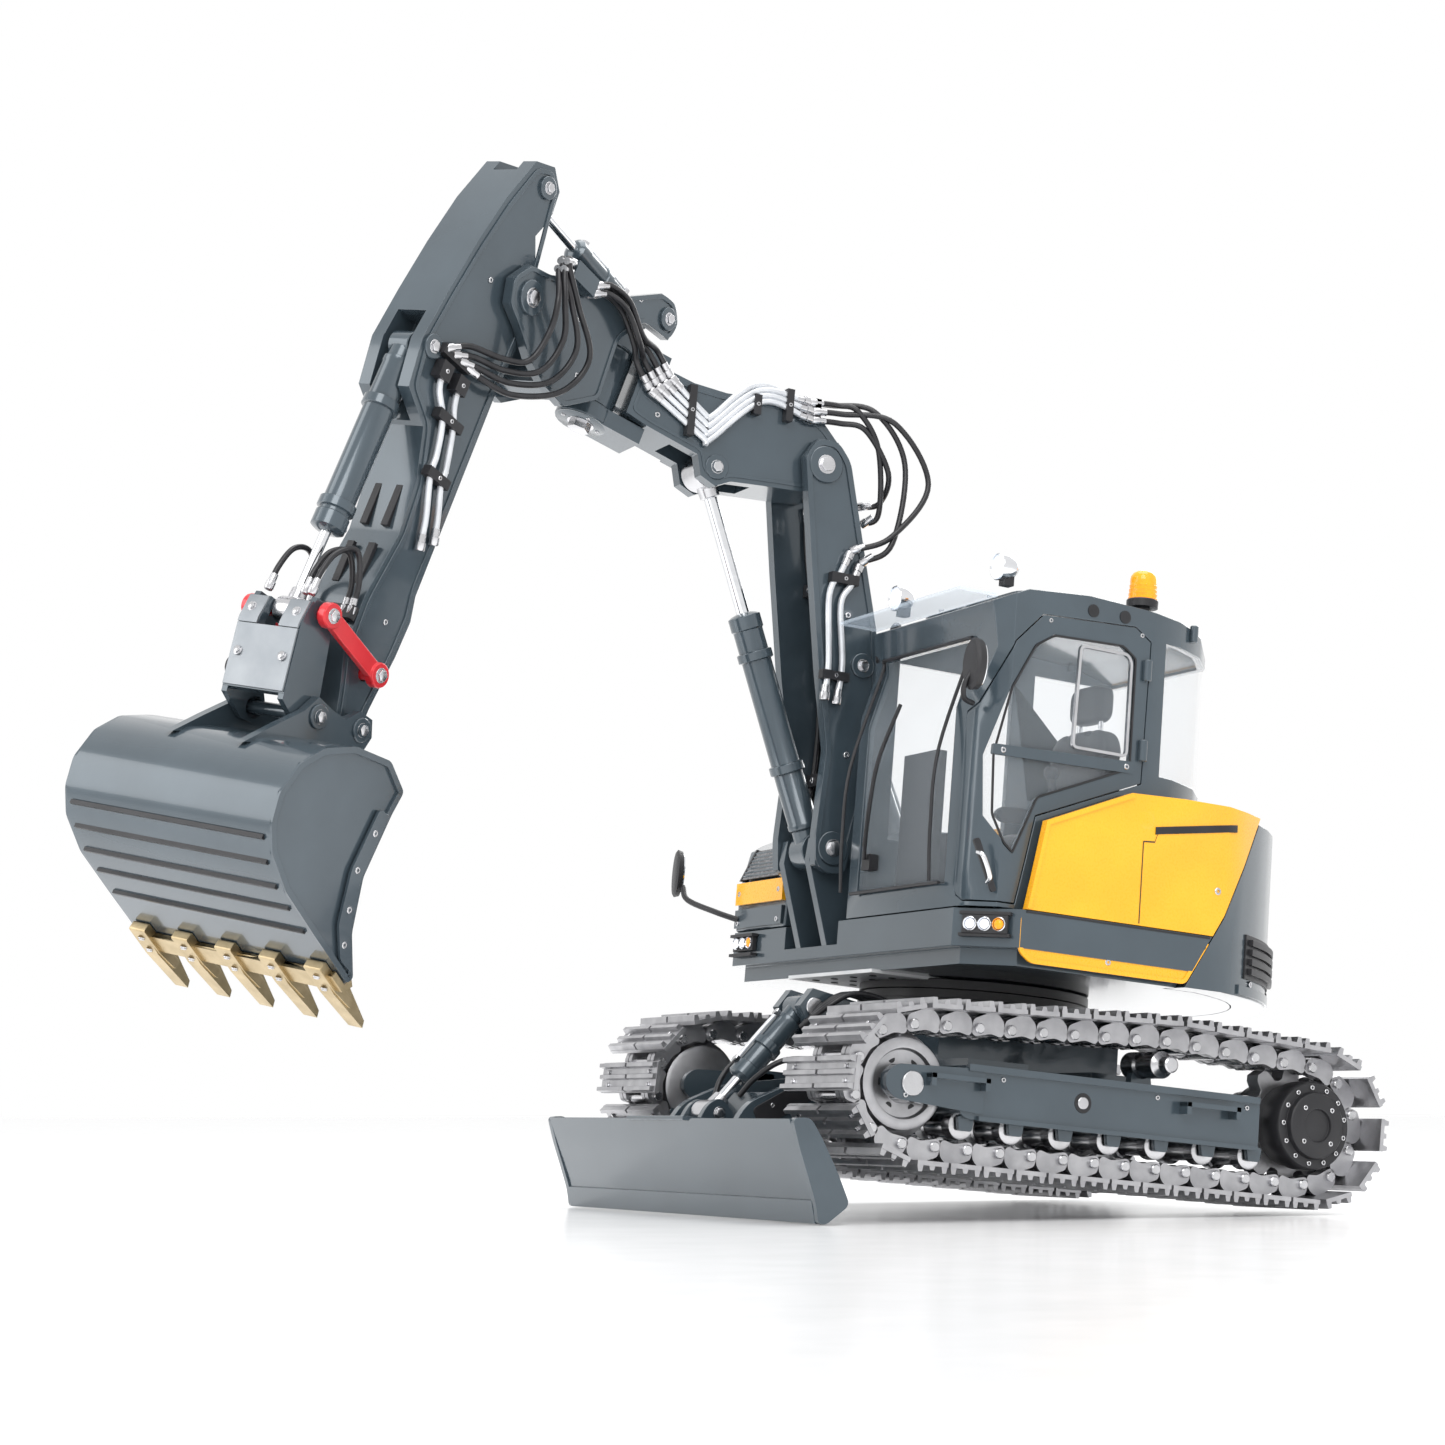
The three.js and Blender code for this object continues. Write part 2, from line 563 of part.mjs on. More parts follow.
function upperBoom() {
  const half = 11.8;
  const outline = [
    [77, 272], [78, 281], [88, 291], [101, 296.5], [131.7, 294.6], [146, 295.7], [167, 301], [173.5, 278.5],
    [164, 274.7], [142, 268], [140, 260], [133.5, 257], [127, 260], [108, 261.3], [95, 262], [85, 263],
  ];
  const boomBody = plate(outline, BOOM_Y - half, BOOM_Y + half);
  const rodRoom = box(116, 152, BOOM_Y - 6.5, BOOM_Y + 6.5, 250, 282);
  const kneeBore = crossBar(KNEE, BOOM_Y - 20, BOOM_Y + 20, 3.6);
  const rodPin = crossBar(KNEE_EYE, BOOM_Y - half - 1, BOOM_Y + half + 1, PIN.radius);
  const knuckles = [[0, 6.5], [31.5, 38]].flatMap(([low, high]) => [
    bar(hingeSpot(0, 0, low), hingeSpot(0, 0, high), 10.5, 20),
    plate(hingePlate([[-22, low], [0, low], [0, high], [-22, high]]), BOOM_Y - 9, BOOM_Y + 9),
  ]);
  const pin = bar(hingeSpot(0, 0, -3), hingeSpot(0, 0, 41), 3, 14);
  const [offsetX, offsetY, offsetZ] = OFFSET_CYLINDER.base;
  const offsetLugs = [offsetZ - 7.8, offsetZ + 4.8].map((low) => plate(
    hingePlate([[offsetX - 7, low], [offsetX + 5, low], [offsetX + 5, low + 3], [offsetX - 7, low + 3]]),
    BOOM_Y - half + 1, BOOM_Y + offsetY - 4.5));
  const offsetPin = bar(
    hingeSpot(offsetX, offsetY, offsetZ - 7), hingeSpot(offsetX, offsetY, offsetZ + 7), 2);
  return join(cut(boomBody, rodRoom, kneeBore), rodPin, ...knuckles, pin, ...offsetLugs, offsetPin);
}

function offsetHead() {
  const outline = [
    [14, 3], [16, 28], [6, 42], [-11, 44], [-13, 52], [-7, 58], [2, 57], [22, 43], [48, 37], [62, 27],
    [74, 24], [80, 15], [77, 6], [68, 2], [57, -5], [45, -9], [31, -10],
  ];
  const sides = [-1, 1].map((side) => plate(outline, side * 13, side * 16.5));
  const web = plate([[17, 4], [30, -7], [42, -6], [38, 0], [24, 10], [22, 30], [18, 30]], -14, 14);
  const knuckle = bar([0, 0, 7], [0, 0, 31], 10, 20);
  const bridge = box(2, 20, -9, 9, 8, 30);
  const bore = bar([0, 0, 5], [0, 0, 33], 3.4, 14);
  const stickPin = crossBar(STICK_PIVOT, -18, 18, 3);
  const cylinderPin = crossBar(STICK_CYLINDER.base, -17.5, 17.5, PIN.radius);
  const [offsetX, offsetY, offsetZ] = OFFSET_CYLINDER.eye;
  const lugOutline = [
    [offsetX - 5, offsetY - 5], [offsetX + 5, offsetY - 5], [38, -16], [16, -16], [-1, -19.5],
  ];
  const offsetLugs = [offsetZ - 7.8, offsetZ + 4.8].map((low) => slab(lugOutline, low, low + 3));
  const offsetPin = bar([offsetX, offsetY, offsetZ - 7], [offsetX, offsetY, offsetZ + 7], 2);
  const hoseClamp = box(44, 58, 16, 23, 29.5, 36.5);
  const body = join(cut(join(knuckle, bridge), bore), web, ...sides, stickPin, cylinderPin);
  return join(body, ...offsetLugs, offsetPin, hoseClamp);
}

function stick() {
  const outline = [
    [69, 47], [73, 37], [66, 26], [59, 16], [60, 3], [61.4, -23], [60.5, -105], [58, -114], [58.5, -128],
    [61, -150], [61, -162], [66, -167], [72, -166], [75, -158], [78, -150], [83, -138], [84, -117],
    [80, -90], [82, -70], [89, -52], [103, -44], [106, -26], [103, -5], [99, 18], [94, 40], [87, 60],
    [77, 64], [70, 58],
  ];
  const body = plate(outline, -12, 12);
  const eyeRoom = plate([[60, 44], [86, 44], [92, 70], [60, 70]], -5.6, 5.6);
  const cylinderRoom = plate([[90, -60], [120, -60], [120, -14], [94, -14]], -6.6, 6.6);
  const pivotBore = crossBar(STICK_PIVOT, -20, 20, 3.4);
  const tipBore = crossBar(TIP_PIVOT, -20, 20, PIN.bore);
  const linkBore = crossBar(LINK_PIVOT, -20, 20, PIN.bore);
  const topPin = crossBar(STICK_CYLINDER.eye, -12.8, 12.8, 2);
  const frontPin = crossBar(BUCKET_CYLINDER.base, -12.8, 12.8, PIN.radius);
  const room = cut(body, eyeRoom, cylinderRoom, pivotBore, tipBore, linkBore);
  return join(room, topPin, frontPin);
}

function redLinks() {
  const [bx, , bz] = LINK_PIVOT;
  const [cx, , cz] = BUCKET_CYLINDER.eye;
  const sides = [-1, 1].map((side) => join(
    plate([[bx - 1, bz + 3], [cx - 1, cz + 3], [cx + 1, cz - 3], [bx + 1, bz - 3]], side * 16.4, side * 19),
    crossBar(LINK_PIVOT, side * 16.4, side * 19.6, 4.6, 14),
    crossBar(BUCKET_CYLINDER.eye, side * 16.4, side * 19.6, 4.6, 14)));
  const pins = [LINK_PIVOT, BUCKET_CYLINDER.eye].map((at) => crossBar(at, -19, 19, PIN.radius, 14));
  return join(...sides, ...pins);
}

function yoke() {
  const cheek = [
    [97, -129], [107, -129], [109, -140], [104, -166], [93, -171], [86, -170], [83, -164], [88, -158],
  ];
  const cheeks = [-1, 1].map((side) => plate(cheek, side * 12, side * 14.6));
  const coverOutline = [
    [105.5, -131], [108.5, -131], [109.5, -140], [104.5, -164], [101.5, -164], [106.5, -140],
  ];
  const cover = plate(coverOutline, -14.6, 14.6);
  const notch = box(96, 120, -5, 5, -142, -120);
  const eyeBore = crossBar(BUCKET_CYLINDER.eye, -16, 16, PIN.bore);
  const openBore = crossBar(YOKE_PIVOT, -16, 16, 4.2);
  return cut(join(...cheeks, cut(cover, notch)), eyeBore, openBore);
}

const BUCKET_BACK = [
  [80, -173.6], [98, -176.5], [111, -183], [119, -192], [122.7, -204], [121, -214], [115.6, -222.5],
  [103, -231], [84, -238], [60, -246.5],
];

function bucket() {
  const mouth = [[58, -244], [66.7, -231], [71.6, -212.7], [70, -189], [68.5, -180]];
  const sideOutline = [...BUCKET_BACK, ...mouth];
  const block = plate(sideOutline, -BUCKET_HALF, BUCKET_HALF);
  const back = inset(sideOutline, 2.2).slice(0, BUCKET_BACK.length);
  const room = [...back, [40, -245], [40, -176]];
  const hollow = plate(room, -BUCKET_HALF + 2.2, BUCKET_HALF - 2.2);
  const earOutline = [
    [61, -160], [64, -154.5], [71, -154.5], [76, -160], [84, -160], [92, -159], [96, -166], [106, -176],
    [117, -187.5], [104, -181], [80, -174.5], [70, -178], [63, -168],
  ];
  const ears = [-1, 1].map((side) => plate(earOutline, side * 15, side * 18.4));
  const pins = [TIP_PIVOT, YOKE_PIVOT].map((at) => crossBar(at, -20, 20, PIN.radius, 14));
  return join(cut(block, hollow), ...ears, ...pins);
}

function bucketTeeth() {
  const strip = plate([
    [66, -244.8], [60, -247], [59.6, -246.8], [57.5, -244.2], [55.8, -246.2], [59.5, -249.6], [67, -246.9],
  ], -BUCKET_HALF, BUCKET_HALF);
  const tooth = [
    [69.6, -243.5], [60, -247], [59.6, -246.8], [57.5, -244.2], [54, -246], [41, -253.5], [40.5, -256],
    [60, -251], [70.6, -246.2],
  ];
  const teeth = [-2, -1, 0, 1, 2].map((i) => plate(tooth, i * 21 - 3.2, i * 21 + 3.2));
  return join(strip, ...teeth);
}

// ---- hydraulic lines ----
const HOSE = { radius: 1.15, sides: 5 };
const BOOM_SIDE = BOOM_Y + 11.8; // near face of the upper boom

function lerp(a, b, share) {
  return a.map((value, i) => value + (b[i] - value) * share);
}

function line(points, steps, radius = HOSE.radius) {
  return hose(points, radius, steps, HOSE.sides);
}

const UPPER_PIPE_ENDS = [[95, -8.3, 290.8], [95, -8.3, 294.4], [96.5, -8.6, 297.9], [97.5, -12.4, 298.4]];
const UPPER_PIPE_STARTS = [-1.5, -0.5, 0.5, 1.5].map((i) => [161 - 2.7 * i, -8.4, 291.7 + 2.2 * i]);

function upperPipes() {
  const pipes = UPPER_PIPE_STARTS.map((start, i) => line([
    start, [141.5, -8.4, 274.6 + 3.1 * i], [138.5, -8.4, 274 + 3.1 * i],
    [117 + 1.2 * i, -8.4, 293.8 + 2 * i], UPPER_PIPE_ENDS[i],
  ], 8, 1.25));
  const near = BOOM_SIDE + GAP;
  const clamps = [
    box(146, 149, near, -6.6, 274, 294),
    box(118, 121, near, -6.6, 288, 296),
    box(104, 107, near, -6.6, 288, 301),
  ];
  return join(...pipes, ...clamps);
}

const LOWER_PIPE_TOPS = [[76.3, -2.6, 239.2], [71.7, -2.6, 235]];

function lowerPipes() {
  const runs = [
    [LOWER_PIPE_TOPS[0], [79.6, -2.6, 231], [84, -2.6, 221], [82, -2.6, 195], [82.6, -2.6, 180]],
    [LOWER_PIPE_TOPS[1], [74.5, -2.6, 227], [78.6, -2.6, 218], [76, -2.6, 195], [77.4, -2.6, 179]],
  ];
  const fittings = runs.flatMap((run) => [
    bar(run[0], run[1], 1.7, 8),
    bar(run[4], shifted(run[4], 0, 0, 7), 1.7, 8),
  ]);
  const clamps = [box(72, 84, -4.5, -1, 226.5, 230.5), box(73, 85, -4.5, -1, 188, 191.5)];
  return join(...runs.map((run) => line(run, 7, 1.25)), ...fittings, ...clamps);
}

function boomBundle() {
  const runs = [-11.6, 11.6].flatMap((across) => [0, 2.7].map((ahead) => [
    [78.5, 262], [75.8, 240], [68.5, 208], [65.2, 178], [66, 150], [70, 136],
  ].map(([x, z]) => [x + ahead, BOOM_Y + across, z])));
  const straps = [
    box(72.4, 78.8, BOOM_Y - 12.8, BOOM_Y + 12.8, 226, 231),
    box(64, 70.6, BOOM_Y - 12.8, BOOM_Y + 12.8, 150, 155),
  ];
  return join(...runs.map((run) => line(run, 6, 1.05)), ...straps);
}

function kneeHoses() {
  const hoses = UPPER_PIPE_ENDS.map(([x, y, z], i) => {
    const outside = i % 2 === 1;
    const size = [0.7, 1, 0.62, 0.86][i];
    const start = [x - 0.4, y, z];
    const end = outside
      ? shifted(LOWER_PIPE_TOPS[(i - 1) / 2], -0.6, 0, 1)
      : [67, BOOM_Y + 6 + 2 * i, 262 - 4 * i];
    const side = outside ? 1 : 0.45;
    return line([
      start, shifted(start, -12, 1.5 * side, 1), shifted(start, -31 * size, 11 * side, -1),
      shifted(start, -46 * size, 15 * side, -24 * size),
      shifted(lerp(start, end, 0.8), -17 * size, 9 * side, -4), end,
    ], 10);
  });
  const spacer = join(
    box(91.6, 94, BOOM_SIDE + GAP, -7, 289.8, 299.6), box(91.6, 94, -13.8, -7, 296, 299.6));
  return join(...hoses, spacer);
}

const HEAD_PORTS = [[18.2, 31.3], [21.2, 31.3], [18.2, 34.7], [21.2, 34.7]];

function headHoses() {
  const hoses = HEAD_PORTS.map(([left, up], i) => {
    const end = shifted(UPPER_PIPE_STARTS[i], 0.6, 0, 0.7);
    return line([
      headSpot(43, left, up), headSpot(37, left + 1.5, up + 4), headSpot(24, left + 1.5, up + 5),
      headSpot(9, left + 0.6, up - 1), shifted(end, 7, 2, 8), end,
    ], 8);
  });
  const [from, to] = [0, 3].map((i) => shifted(UPPER_PIPE_STARTS[i], 2.4, 0.2, 2.6));
  return join(...hoses, bar(from, to, 1.3, 8));
}

function stickHoses() {
  const hoses = HEAD_PORTS.map(([left, up], i) => {
    const loop = (inner, outer, across) => {
      const [forward, height] = lerp(inner, outer, i / 3);
      return [forward, across, height];
    };
    return line([
      [58.6, left, up], [62.5, left + 0.8, up - 1.6],
      loop([63, 17], [52, 21], 24.8), loop([60, 5], [35, 9], 24), loop([61, -8], [39, -8], 21),
      loop([72, -14], [60, -22], 19), loop([87, -18], [76, -24.6], 16.4), [95.5 - 4.2 * i, 14.4, -24],
    ], 12);
  });
  return join(...hoses, box(81.2, 97.2, 12.4, 15.6, -26.4, -22.6));
}

function stickPipes() {
  const runs = [
    [[93, -30], [91, -38], [84, -46], [80, -58], [79, -66], [73, -80], [70, -91]],
    [[83, -30], [81, -39], [77, -47], [73, -60], [72, -67], [67.5, -77], [64.5, -86]],
  ].map((run) => run.map(([x, z]) => [x, 14.3, z]));
  const ends = runs.map((run) => bar(lerp(run[5], run[6], 0.4), run[6], 1.9, 8));
  const blocks = [
    box(90, 96, 12.4, 16.6, -35, -28.6), box(80, 86, 12.4, 16.6, -35, -28.6),
    box(74, 88, 12.4, 16, -47, -43.4), box(69.5, 82, 12.4, 16, -67, -63.4),
  ];
  return join(...runs.map((run) => line(run, 7, 1.2)), ...ends, ...blocks);
}

function bucketHoses() {
  const arches = [-9.6, 7.6, 10.8].map((across, i) => line([
    [86, across, -125], [88, across * 1.02, -114], [95, across * 1.05, -107 + i], [103, across, -110],
    [106.5, across, -119], [106.8, across, -127.6],
  ], 8, 1.05));
  return join(...arches, box(84.6, 87.6, -11.4, 12.4, -127, -122));
}

// ---- assembly ----
for (const [word, side] of [['left', 1], ['right', -1]]) {
  addPart(machine, `track_frame_${word}`, trackFrame(side), SLATE);
  addPart(machine, `track_chain_${word}`, trackChain(side), STEEL);
  const idlerPivot = pivot(machine, `idler_${word}_pivot`, [IDLER.x, side * 78.75, IDLER.z]);
  addPart(idlerPivot, `idler_${word}`, idler(side), STEEL);
  const sprocketPivot = pivot(machine, `sprocket_${word}_pivot`, [SPROCKET.x, side * 78.75, SPROCKET.z]);
  addPart(sprocketPivot, `sprocket_${word}`, sprocket(side), BLACK);
}
addPart(machine, 'car_body', carBody(), SLATE);
addPart(machine, 'slew_ring', bar([SLEW.x, 0, SLEW.low], [SLEW.x, 0, SLEW.high], SLEW.radius, 32), BLACK);

const bladePivot = pivot(machine, 'blade_pivot', BLADE_PIVOT);
addPart(bladePivot, 'blade', blade(), SLATE);
const bladeRam = cylinder(BLADE_CYLINDER, {
  barrel: 5, rod: 2.2, width: 5.4, reach: 38, eyeRadius: 5, tail: 18, bore: 2.4, openBore: 4,
});
const bladeBarrelPivot = pivot(machine, 'blade_barrel_pivot', BLADE_CYLINDER.base);
addPart(bladeBarrelPivot, 'blade_barrel', bladeRam.barrel, BLACK);
addPart(pivot(bladeBarrelPivot, 'blade_rod_slide', BLADE_CYLINDER.eye), 'blade_rod', bladeRam.rod, CHROME);

const house = pivot(machine, 'slew_pivot', [SLEW.x, 0, SLEW.high]);
addPart(house, 'deck', deck(), SLATE);
addPart(house, 'counterweight', counterweight(), SLATE);
addPart(house, 'engine_cover', engineCover(), YELLOW);
addPart(house, 'hood_right', rightHood(), SLATE);
addPart(house, 'cab_frame', cabFrame(), SLATE);
addPart(house, 'windshield', cabGlass(OPENINGS.windshield), GLASS);
addPart(house, 'cab_glass_right', cabGlass(OPENINGS.right), GLASS);
addPart(house, 'rear_glass', cabGlass(OPENINGS.rear), GLASS);
addPart(house, 'sun_visor', box(67.5, 84, 8, 96, 207.4, 208.8), GLASS);
addPart(house, 'seat', seat(), LEATHER);
addPart(house, 'control_console', console(), BLACK);
addPart(house, 'beacon', beacon(), AMBER);
addPart(house, 'cab_lamp_left', cabLamp(92), CHROME);
addPart(house, 'cab_lamp_right', cabLamp(18), CHROME);
addPart(house, 'deck_lamps_left', lampCluster([63.9, 95.9, 89], Math.PI / 2 - 0.896), GLASS);
addPart(house, 'deck_lamps_right', lampCluster([71.6, -76, 90], 0), GLASS);
addPart(house, 'battery_pack', box(-66, -18, -42, 42, 95.4, 122), BLACK);
addPart(house, 'hydraulic_pump', join(
  bar([0, -75, 112], [44, -75, 112], 12, 18), box(6, 38, -84, -66, 95.4, 106)), ALLOY);

const doorPivot = pivot(house, 'door_pivot', [3, 98.5, 150]);
const doorFrame = cut(cabSkin(0, 3).intersect(OPENINGS.door(0)), OPENINGS.doorGlass(0));
addPart(doorPivot, 'door_frame', doorFrame, SLATE);
addPart(doorPivot, 'door_glass', cabGlass(OPENINGS.doorGlass), GLASS);
const mirrorPivot = pivot(house, 'mirror_pivot', [70.5, -84, 100]);
addPart(mirrorPivot, 'mirror_right', sideMirror(), BLACK);

const foot = pivot(house, 'foot_pivot', FOOT);
addPart(foot, 'lower_boom', lowerBoom(), SLATE);
const liftRam = cylinder(LIFT, {
  barrel: 5.4, rod: 2.4, width: 5.8, reach: 62, eyeRadius: 5.4, tail: 14.5, bore: 2.6, openBore: 4.4,
});
const liftBarrelPivot = pivot(house, 'lift_barrel_pivot', LIFT.base);
addPart(liftBarrelPivot, 'lift_barrel', liftRam.barrel, SLATE);
addPart(pivot(liftBarrelPivot, 'lift_rod_slide', LIFT.eye), 'lift_rod', liftRam.rod, CHROME);
const kneeRam = cylinder({ base: FOOT, eye: KNEE_EYE }, {
  barrel: 6.2, rod: 2.6, width: 5.6, reach: 97, eyeRadius: 7, tail: 28.5, bore: 3.4, openBore: 5.3,
});
const kneeBarrelPivot = pivot(foot, 'knee_barrel_pivot', FOOT);
addPart(kneeBarrelPivot, 'knee_barrel', kneeRam.barrel, SLATE);
addPart(pivot(kneeBarrelPivot, 'knee_rod_slide', KNEE_EYE), 'knee_rod', kneeRam.rod, CHROME);

const knee = pivot(foot, 'knee_pivot', KNEE);
addPart(knee, 'upper_boom', upperBoom(), SLATE);
addPart(knee, 'pipes_upper_boom', upperPipes(), ALLOY);
addPart(knee, 'hoses_head', headHoses(), RUBBER);
addPart(foot, 'pipes_lower_boom', lowerPipes(), ALLOY);
addPart(foot, 'hoses_lower_boom', boomBundle(), RUBBER);
addPart(foot, 'hoses_knee', kneeHoses(), RUBBER);

const hingeAxis = pivot(knee, 'hinge_axis', HINGE);
hingeAxis.rotation.y = -HINGE_LEAN;
hingeAxis.userData.origin = [0, 0, 0];
const head = new THREE.Group();
head.name = 'hinge_pivot';
head.rotation.z = HEAD_TURN;
head.userData.origin = [0, 0, 0];
hingeAxis.add(head);
addPart(head, 'offset_head', offsetHead(), SLATE);
const offsetEye = new THREE.Vector3(...OFFSET_CYLINDER.eye).applyEuler(head.rotation).toArray();
const offsetRam = cylinder({ base: OFFSET_CYLINDER.base, eye: offsetEye }, {
  barrel: 4.4, rod: 1.8, width: 4.2, reach: 38, eyeRadius: 4.4, tail: 26.5, bore: 2.4, openBore: 3.7,
  across: [0, 0, 1],
});
const offsetBarrelPivot = pivot(hingeAxis, 'offset_barrel_pivot', OFFSET_CYLINDER.base);
addPart(offsetBarrelPivot, 'offset_barrel', offsetRam.barrel, SLATE);
addPart(pivot(offsetBarrelPivot, 'offset_rod_slide', offsetEye), 'offset_rod', offsetRam.rod, CHROME);
const stickRam = cylinder(STICK_CYLINDER, {
  barrel: 4.6, rod: 1.9, width: 4.8, reach: 46, eyeRadius: 4.8, tail: 18, openBore: 4,
});
const stickBarrelPivot = pivot(head, 'stick_barrel_pivot', STICK_CYLINDER.base);
addPart(stickBarrelPivot, 'stick_barrel', stickRam.barrel, SLATE);
addPart(pivot(stickBarrelPivot, 'stick_rod_slide', STICK_CYLINDER.eye), 'stick_rod', stickRam.rod, CHROME);

const stickPivot = pivot(head, 'stick_pivot', STICK_PIVOT);
addPart(stickPivot, 'stick', stick(), SLATE);
addPart(stickPivot, 'hoses_stick', stickHoses(), RUBBER);
addPart(stickPivot, 'pipes_stick', stickPipes(), ALLOY);
addPart(stickPivot, 'hoses_bucket', bucketHoses(), RUBBER);
const bucketRam = cylinder(BUCKET_CYLINDER, {
  barrel: 6, rod: 1.9, width: 4.6, reach: 76, eyeRadius: 5, tail: 17, openBore: 4.2,
});
const bucketBarrelPivot = pivot(stickPivot, 'bucket_barrel_pivot', BUCKET_CYLINDER.base);
addPart(bucketBarrelPivot, 'bucket_barrel', bucketRam.barrel, SLATE);
const bucketRodPivot = pivot(bucketBarrelPivot, 'bucket_rod_slide', BUCKET_CYLINDER.eye);
addPart(bucketRodPivot, 'bucket_rod', bucketRam.rod, CHROME);
const linkPivot = pivot(stickPivot, 'link_pivot', LINK_PIVOT);
addPart(linkPivot, 'link_bars', redLinks(), RED);
addPart(pivot(linkPivot, 'yoke_pivot', BUCKET_CYLINDER.eye), 'link_yoke', yoke(), SLATE);
const bucketPivot = pivot(stickPivot, 'bucket_pivot', TIP_PIVOT);
addPart(bucketPivot, 'bucket', bucket(), SLATE);
addPart(bucketPivot, 'bucket_teeth', bucketTeeth(), BRASS);

// the model stands on its own lowest points, centred over its footprint
machine.updateMatrixWorld(true);
const bounds = new THREE.Box3().setFromObject(excavator, true);
const middle = bounds.getCenter(new THREE.Vector3());
excavator.position.set(-middle.x, -middle.y, -bounds.min.z);
excavator.updateMatrixWorld(true);

export default excavator;
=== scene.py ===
import json
import math
import bmesh
import bpy
from mathutils import Matrix, Vector


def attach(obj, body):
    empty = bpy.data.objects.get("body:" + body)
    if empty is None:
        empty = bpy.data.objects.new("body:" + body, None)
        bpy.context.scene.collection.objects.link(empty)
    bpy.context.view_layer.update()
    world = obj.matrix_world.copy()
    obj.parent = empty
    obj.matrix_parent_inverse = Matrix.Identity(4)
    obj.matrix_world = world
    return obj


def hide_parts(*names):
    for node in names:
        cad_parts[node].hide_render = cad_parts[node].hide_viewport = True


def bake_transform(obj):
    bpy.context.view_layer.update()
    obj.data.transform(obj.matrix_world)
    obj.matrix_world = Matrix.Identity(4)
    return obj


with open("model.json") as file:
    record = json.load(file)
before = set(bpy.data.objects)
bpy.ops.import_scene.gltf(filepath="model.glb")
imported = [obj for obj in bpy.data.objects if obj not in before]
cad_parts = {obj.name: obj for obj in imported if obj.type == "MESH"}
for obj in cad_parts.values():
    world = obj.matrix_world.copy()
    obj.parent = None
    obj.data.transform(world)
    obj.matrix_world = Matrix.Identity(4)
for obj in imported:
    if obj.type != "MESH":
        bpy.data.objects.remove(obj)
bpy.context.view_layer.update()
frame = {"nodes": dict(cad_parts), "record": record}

# ---------------------------------------------------------------- frames
# Pieces are drawn in millimetres, in the machine's own frame (x ahead, y left, z up from the
# soles) or in the frame of the swinging head (along its hinge pin), as the CAD part is.
MM = 0.001
JOINTS = {joint["name"]: joint for joint in frame["record"]["behaviour"]["joints"]}
up = Vector(JOINTS["slew"]["axis"]).normalized()
left = Vector((0, 1, 0))
tilt = Matrix((left.cross(up), left, up)).transposed().to_4x4()
SLEW_X = 8  # where the slew axis stands
BOOM_Y = -22  # middle plane of the booms
HINGE = (187, BOOM_Y, 274)  # foot of the head's hinge pin
LEAN, SWUNG = math.radians(16.3), math.radians(30.3)  # the pin's lean, and the head's turn at rest
MACHINE = (Matrix.Translation(Vector(JOINTS["slew"]["pos_m"])) @ tilt
           @ Matrix.Scale(MM, 4) @ Matrix.Translation((-SLEW_X, 0, -75)))
HINGE_SPACE = MACHINE @ Matrix.Translation(HINGE) @ Matrix.Rotation(-LEAN, 4, "Y")
HEAD = HINGE_SPACE @ Matrix.Rotation(SWUNG, 4, "Z")


def lerp(a, b, t):
    return tuple(p + (q - p) * t for p, q in zip(a, b))


def in_head(point):
    """A point of the head's frame, in the machine's."""
    return MACHINE.inverted() @ (HEAD @ Vector(point))


# ---------------------------------------------------------------- materials
def new_material(name):
    made = bpy.data.materials.new(name)
    made.use_nodes = True
    return made, made.node_tree.nodes, made.node_tree.links, made.node_tree.nodes["Principled BSDF"]


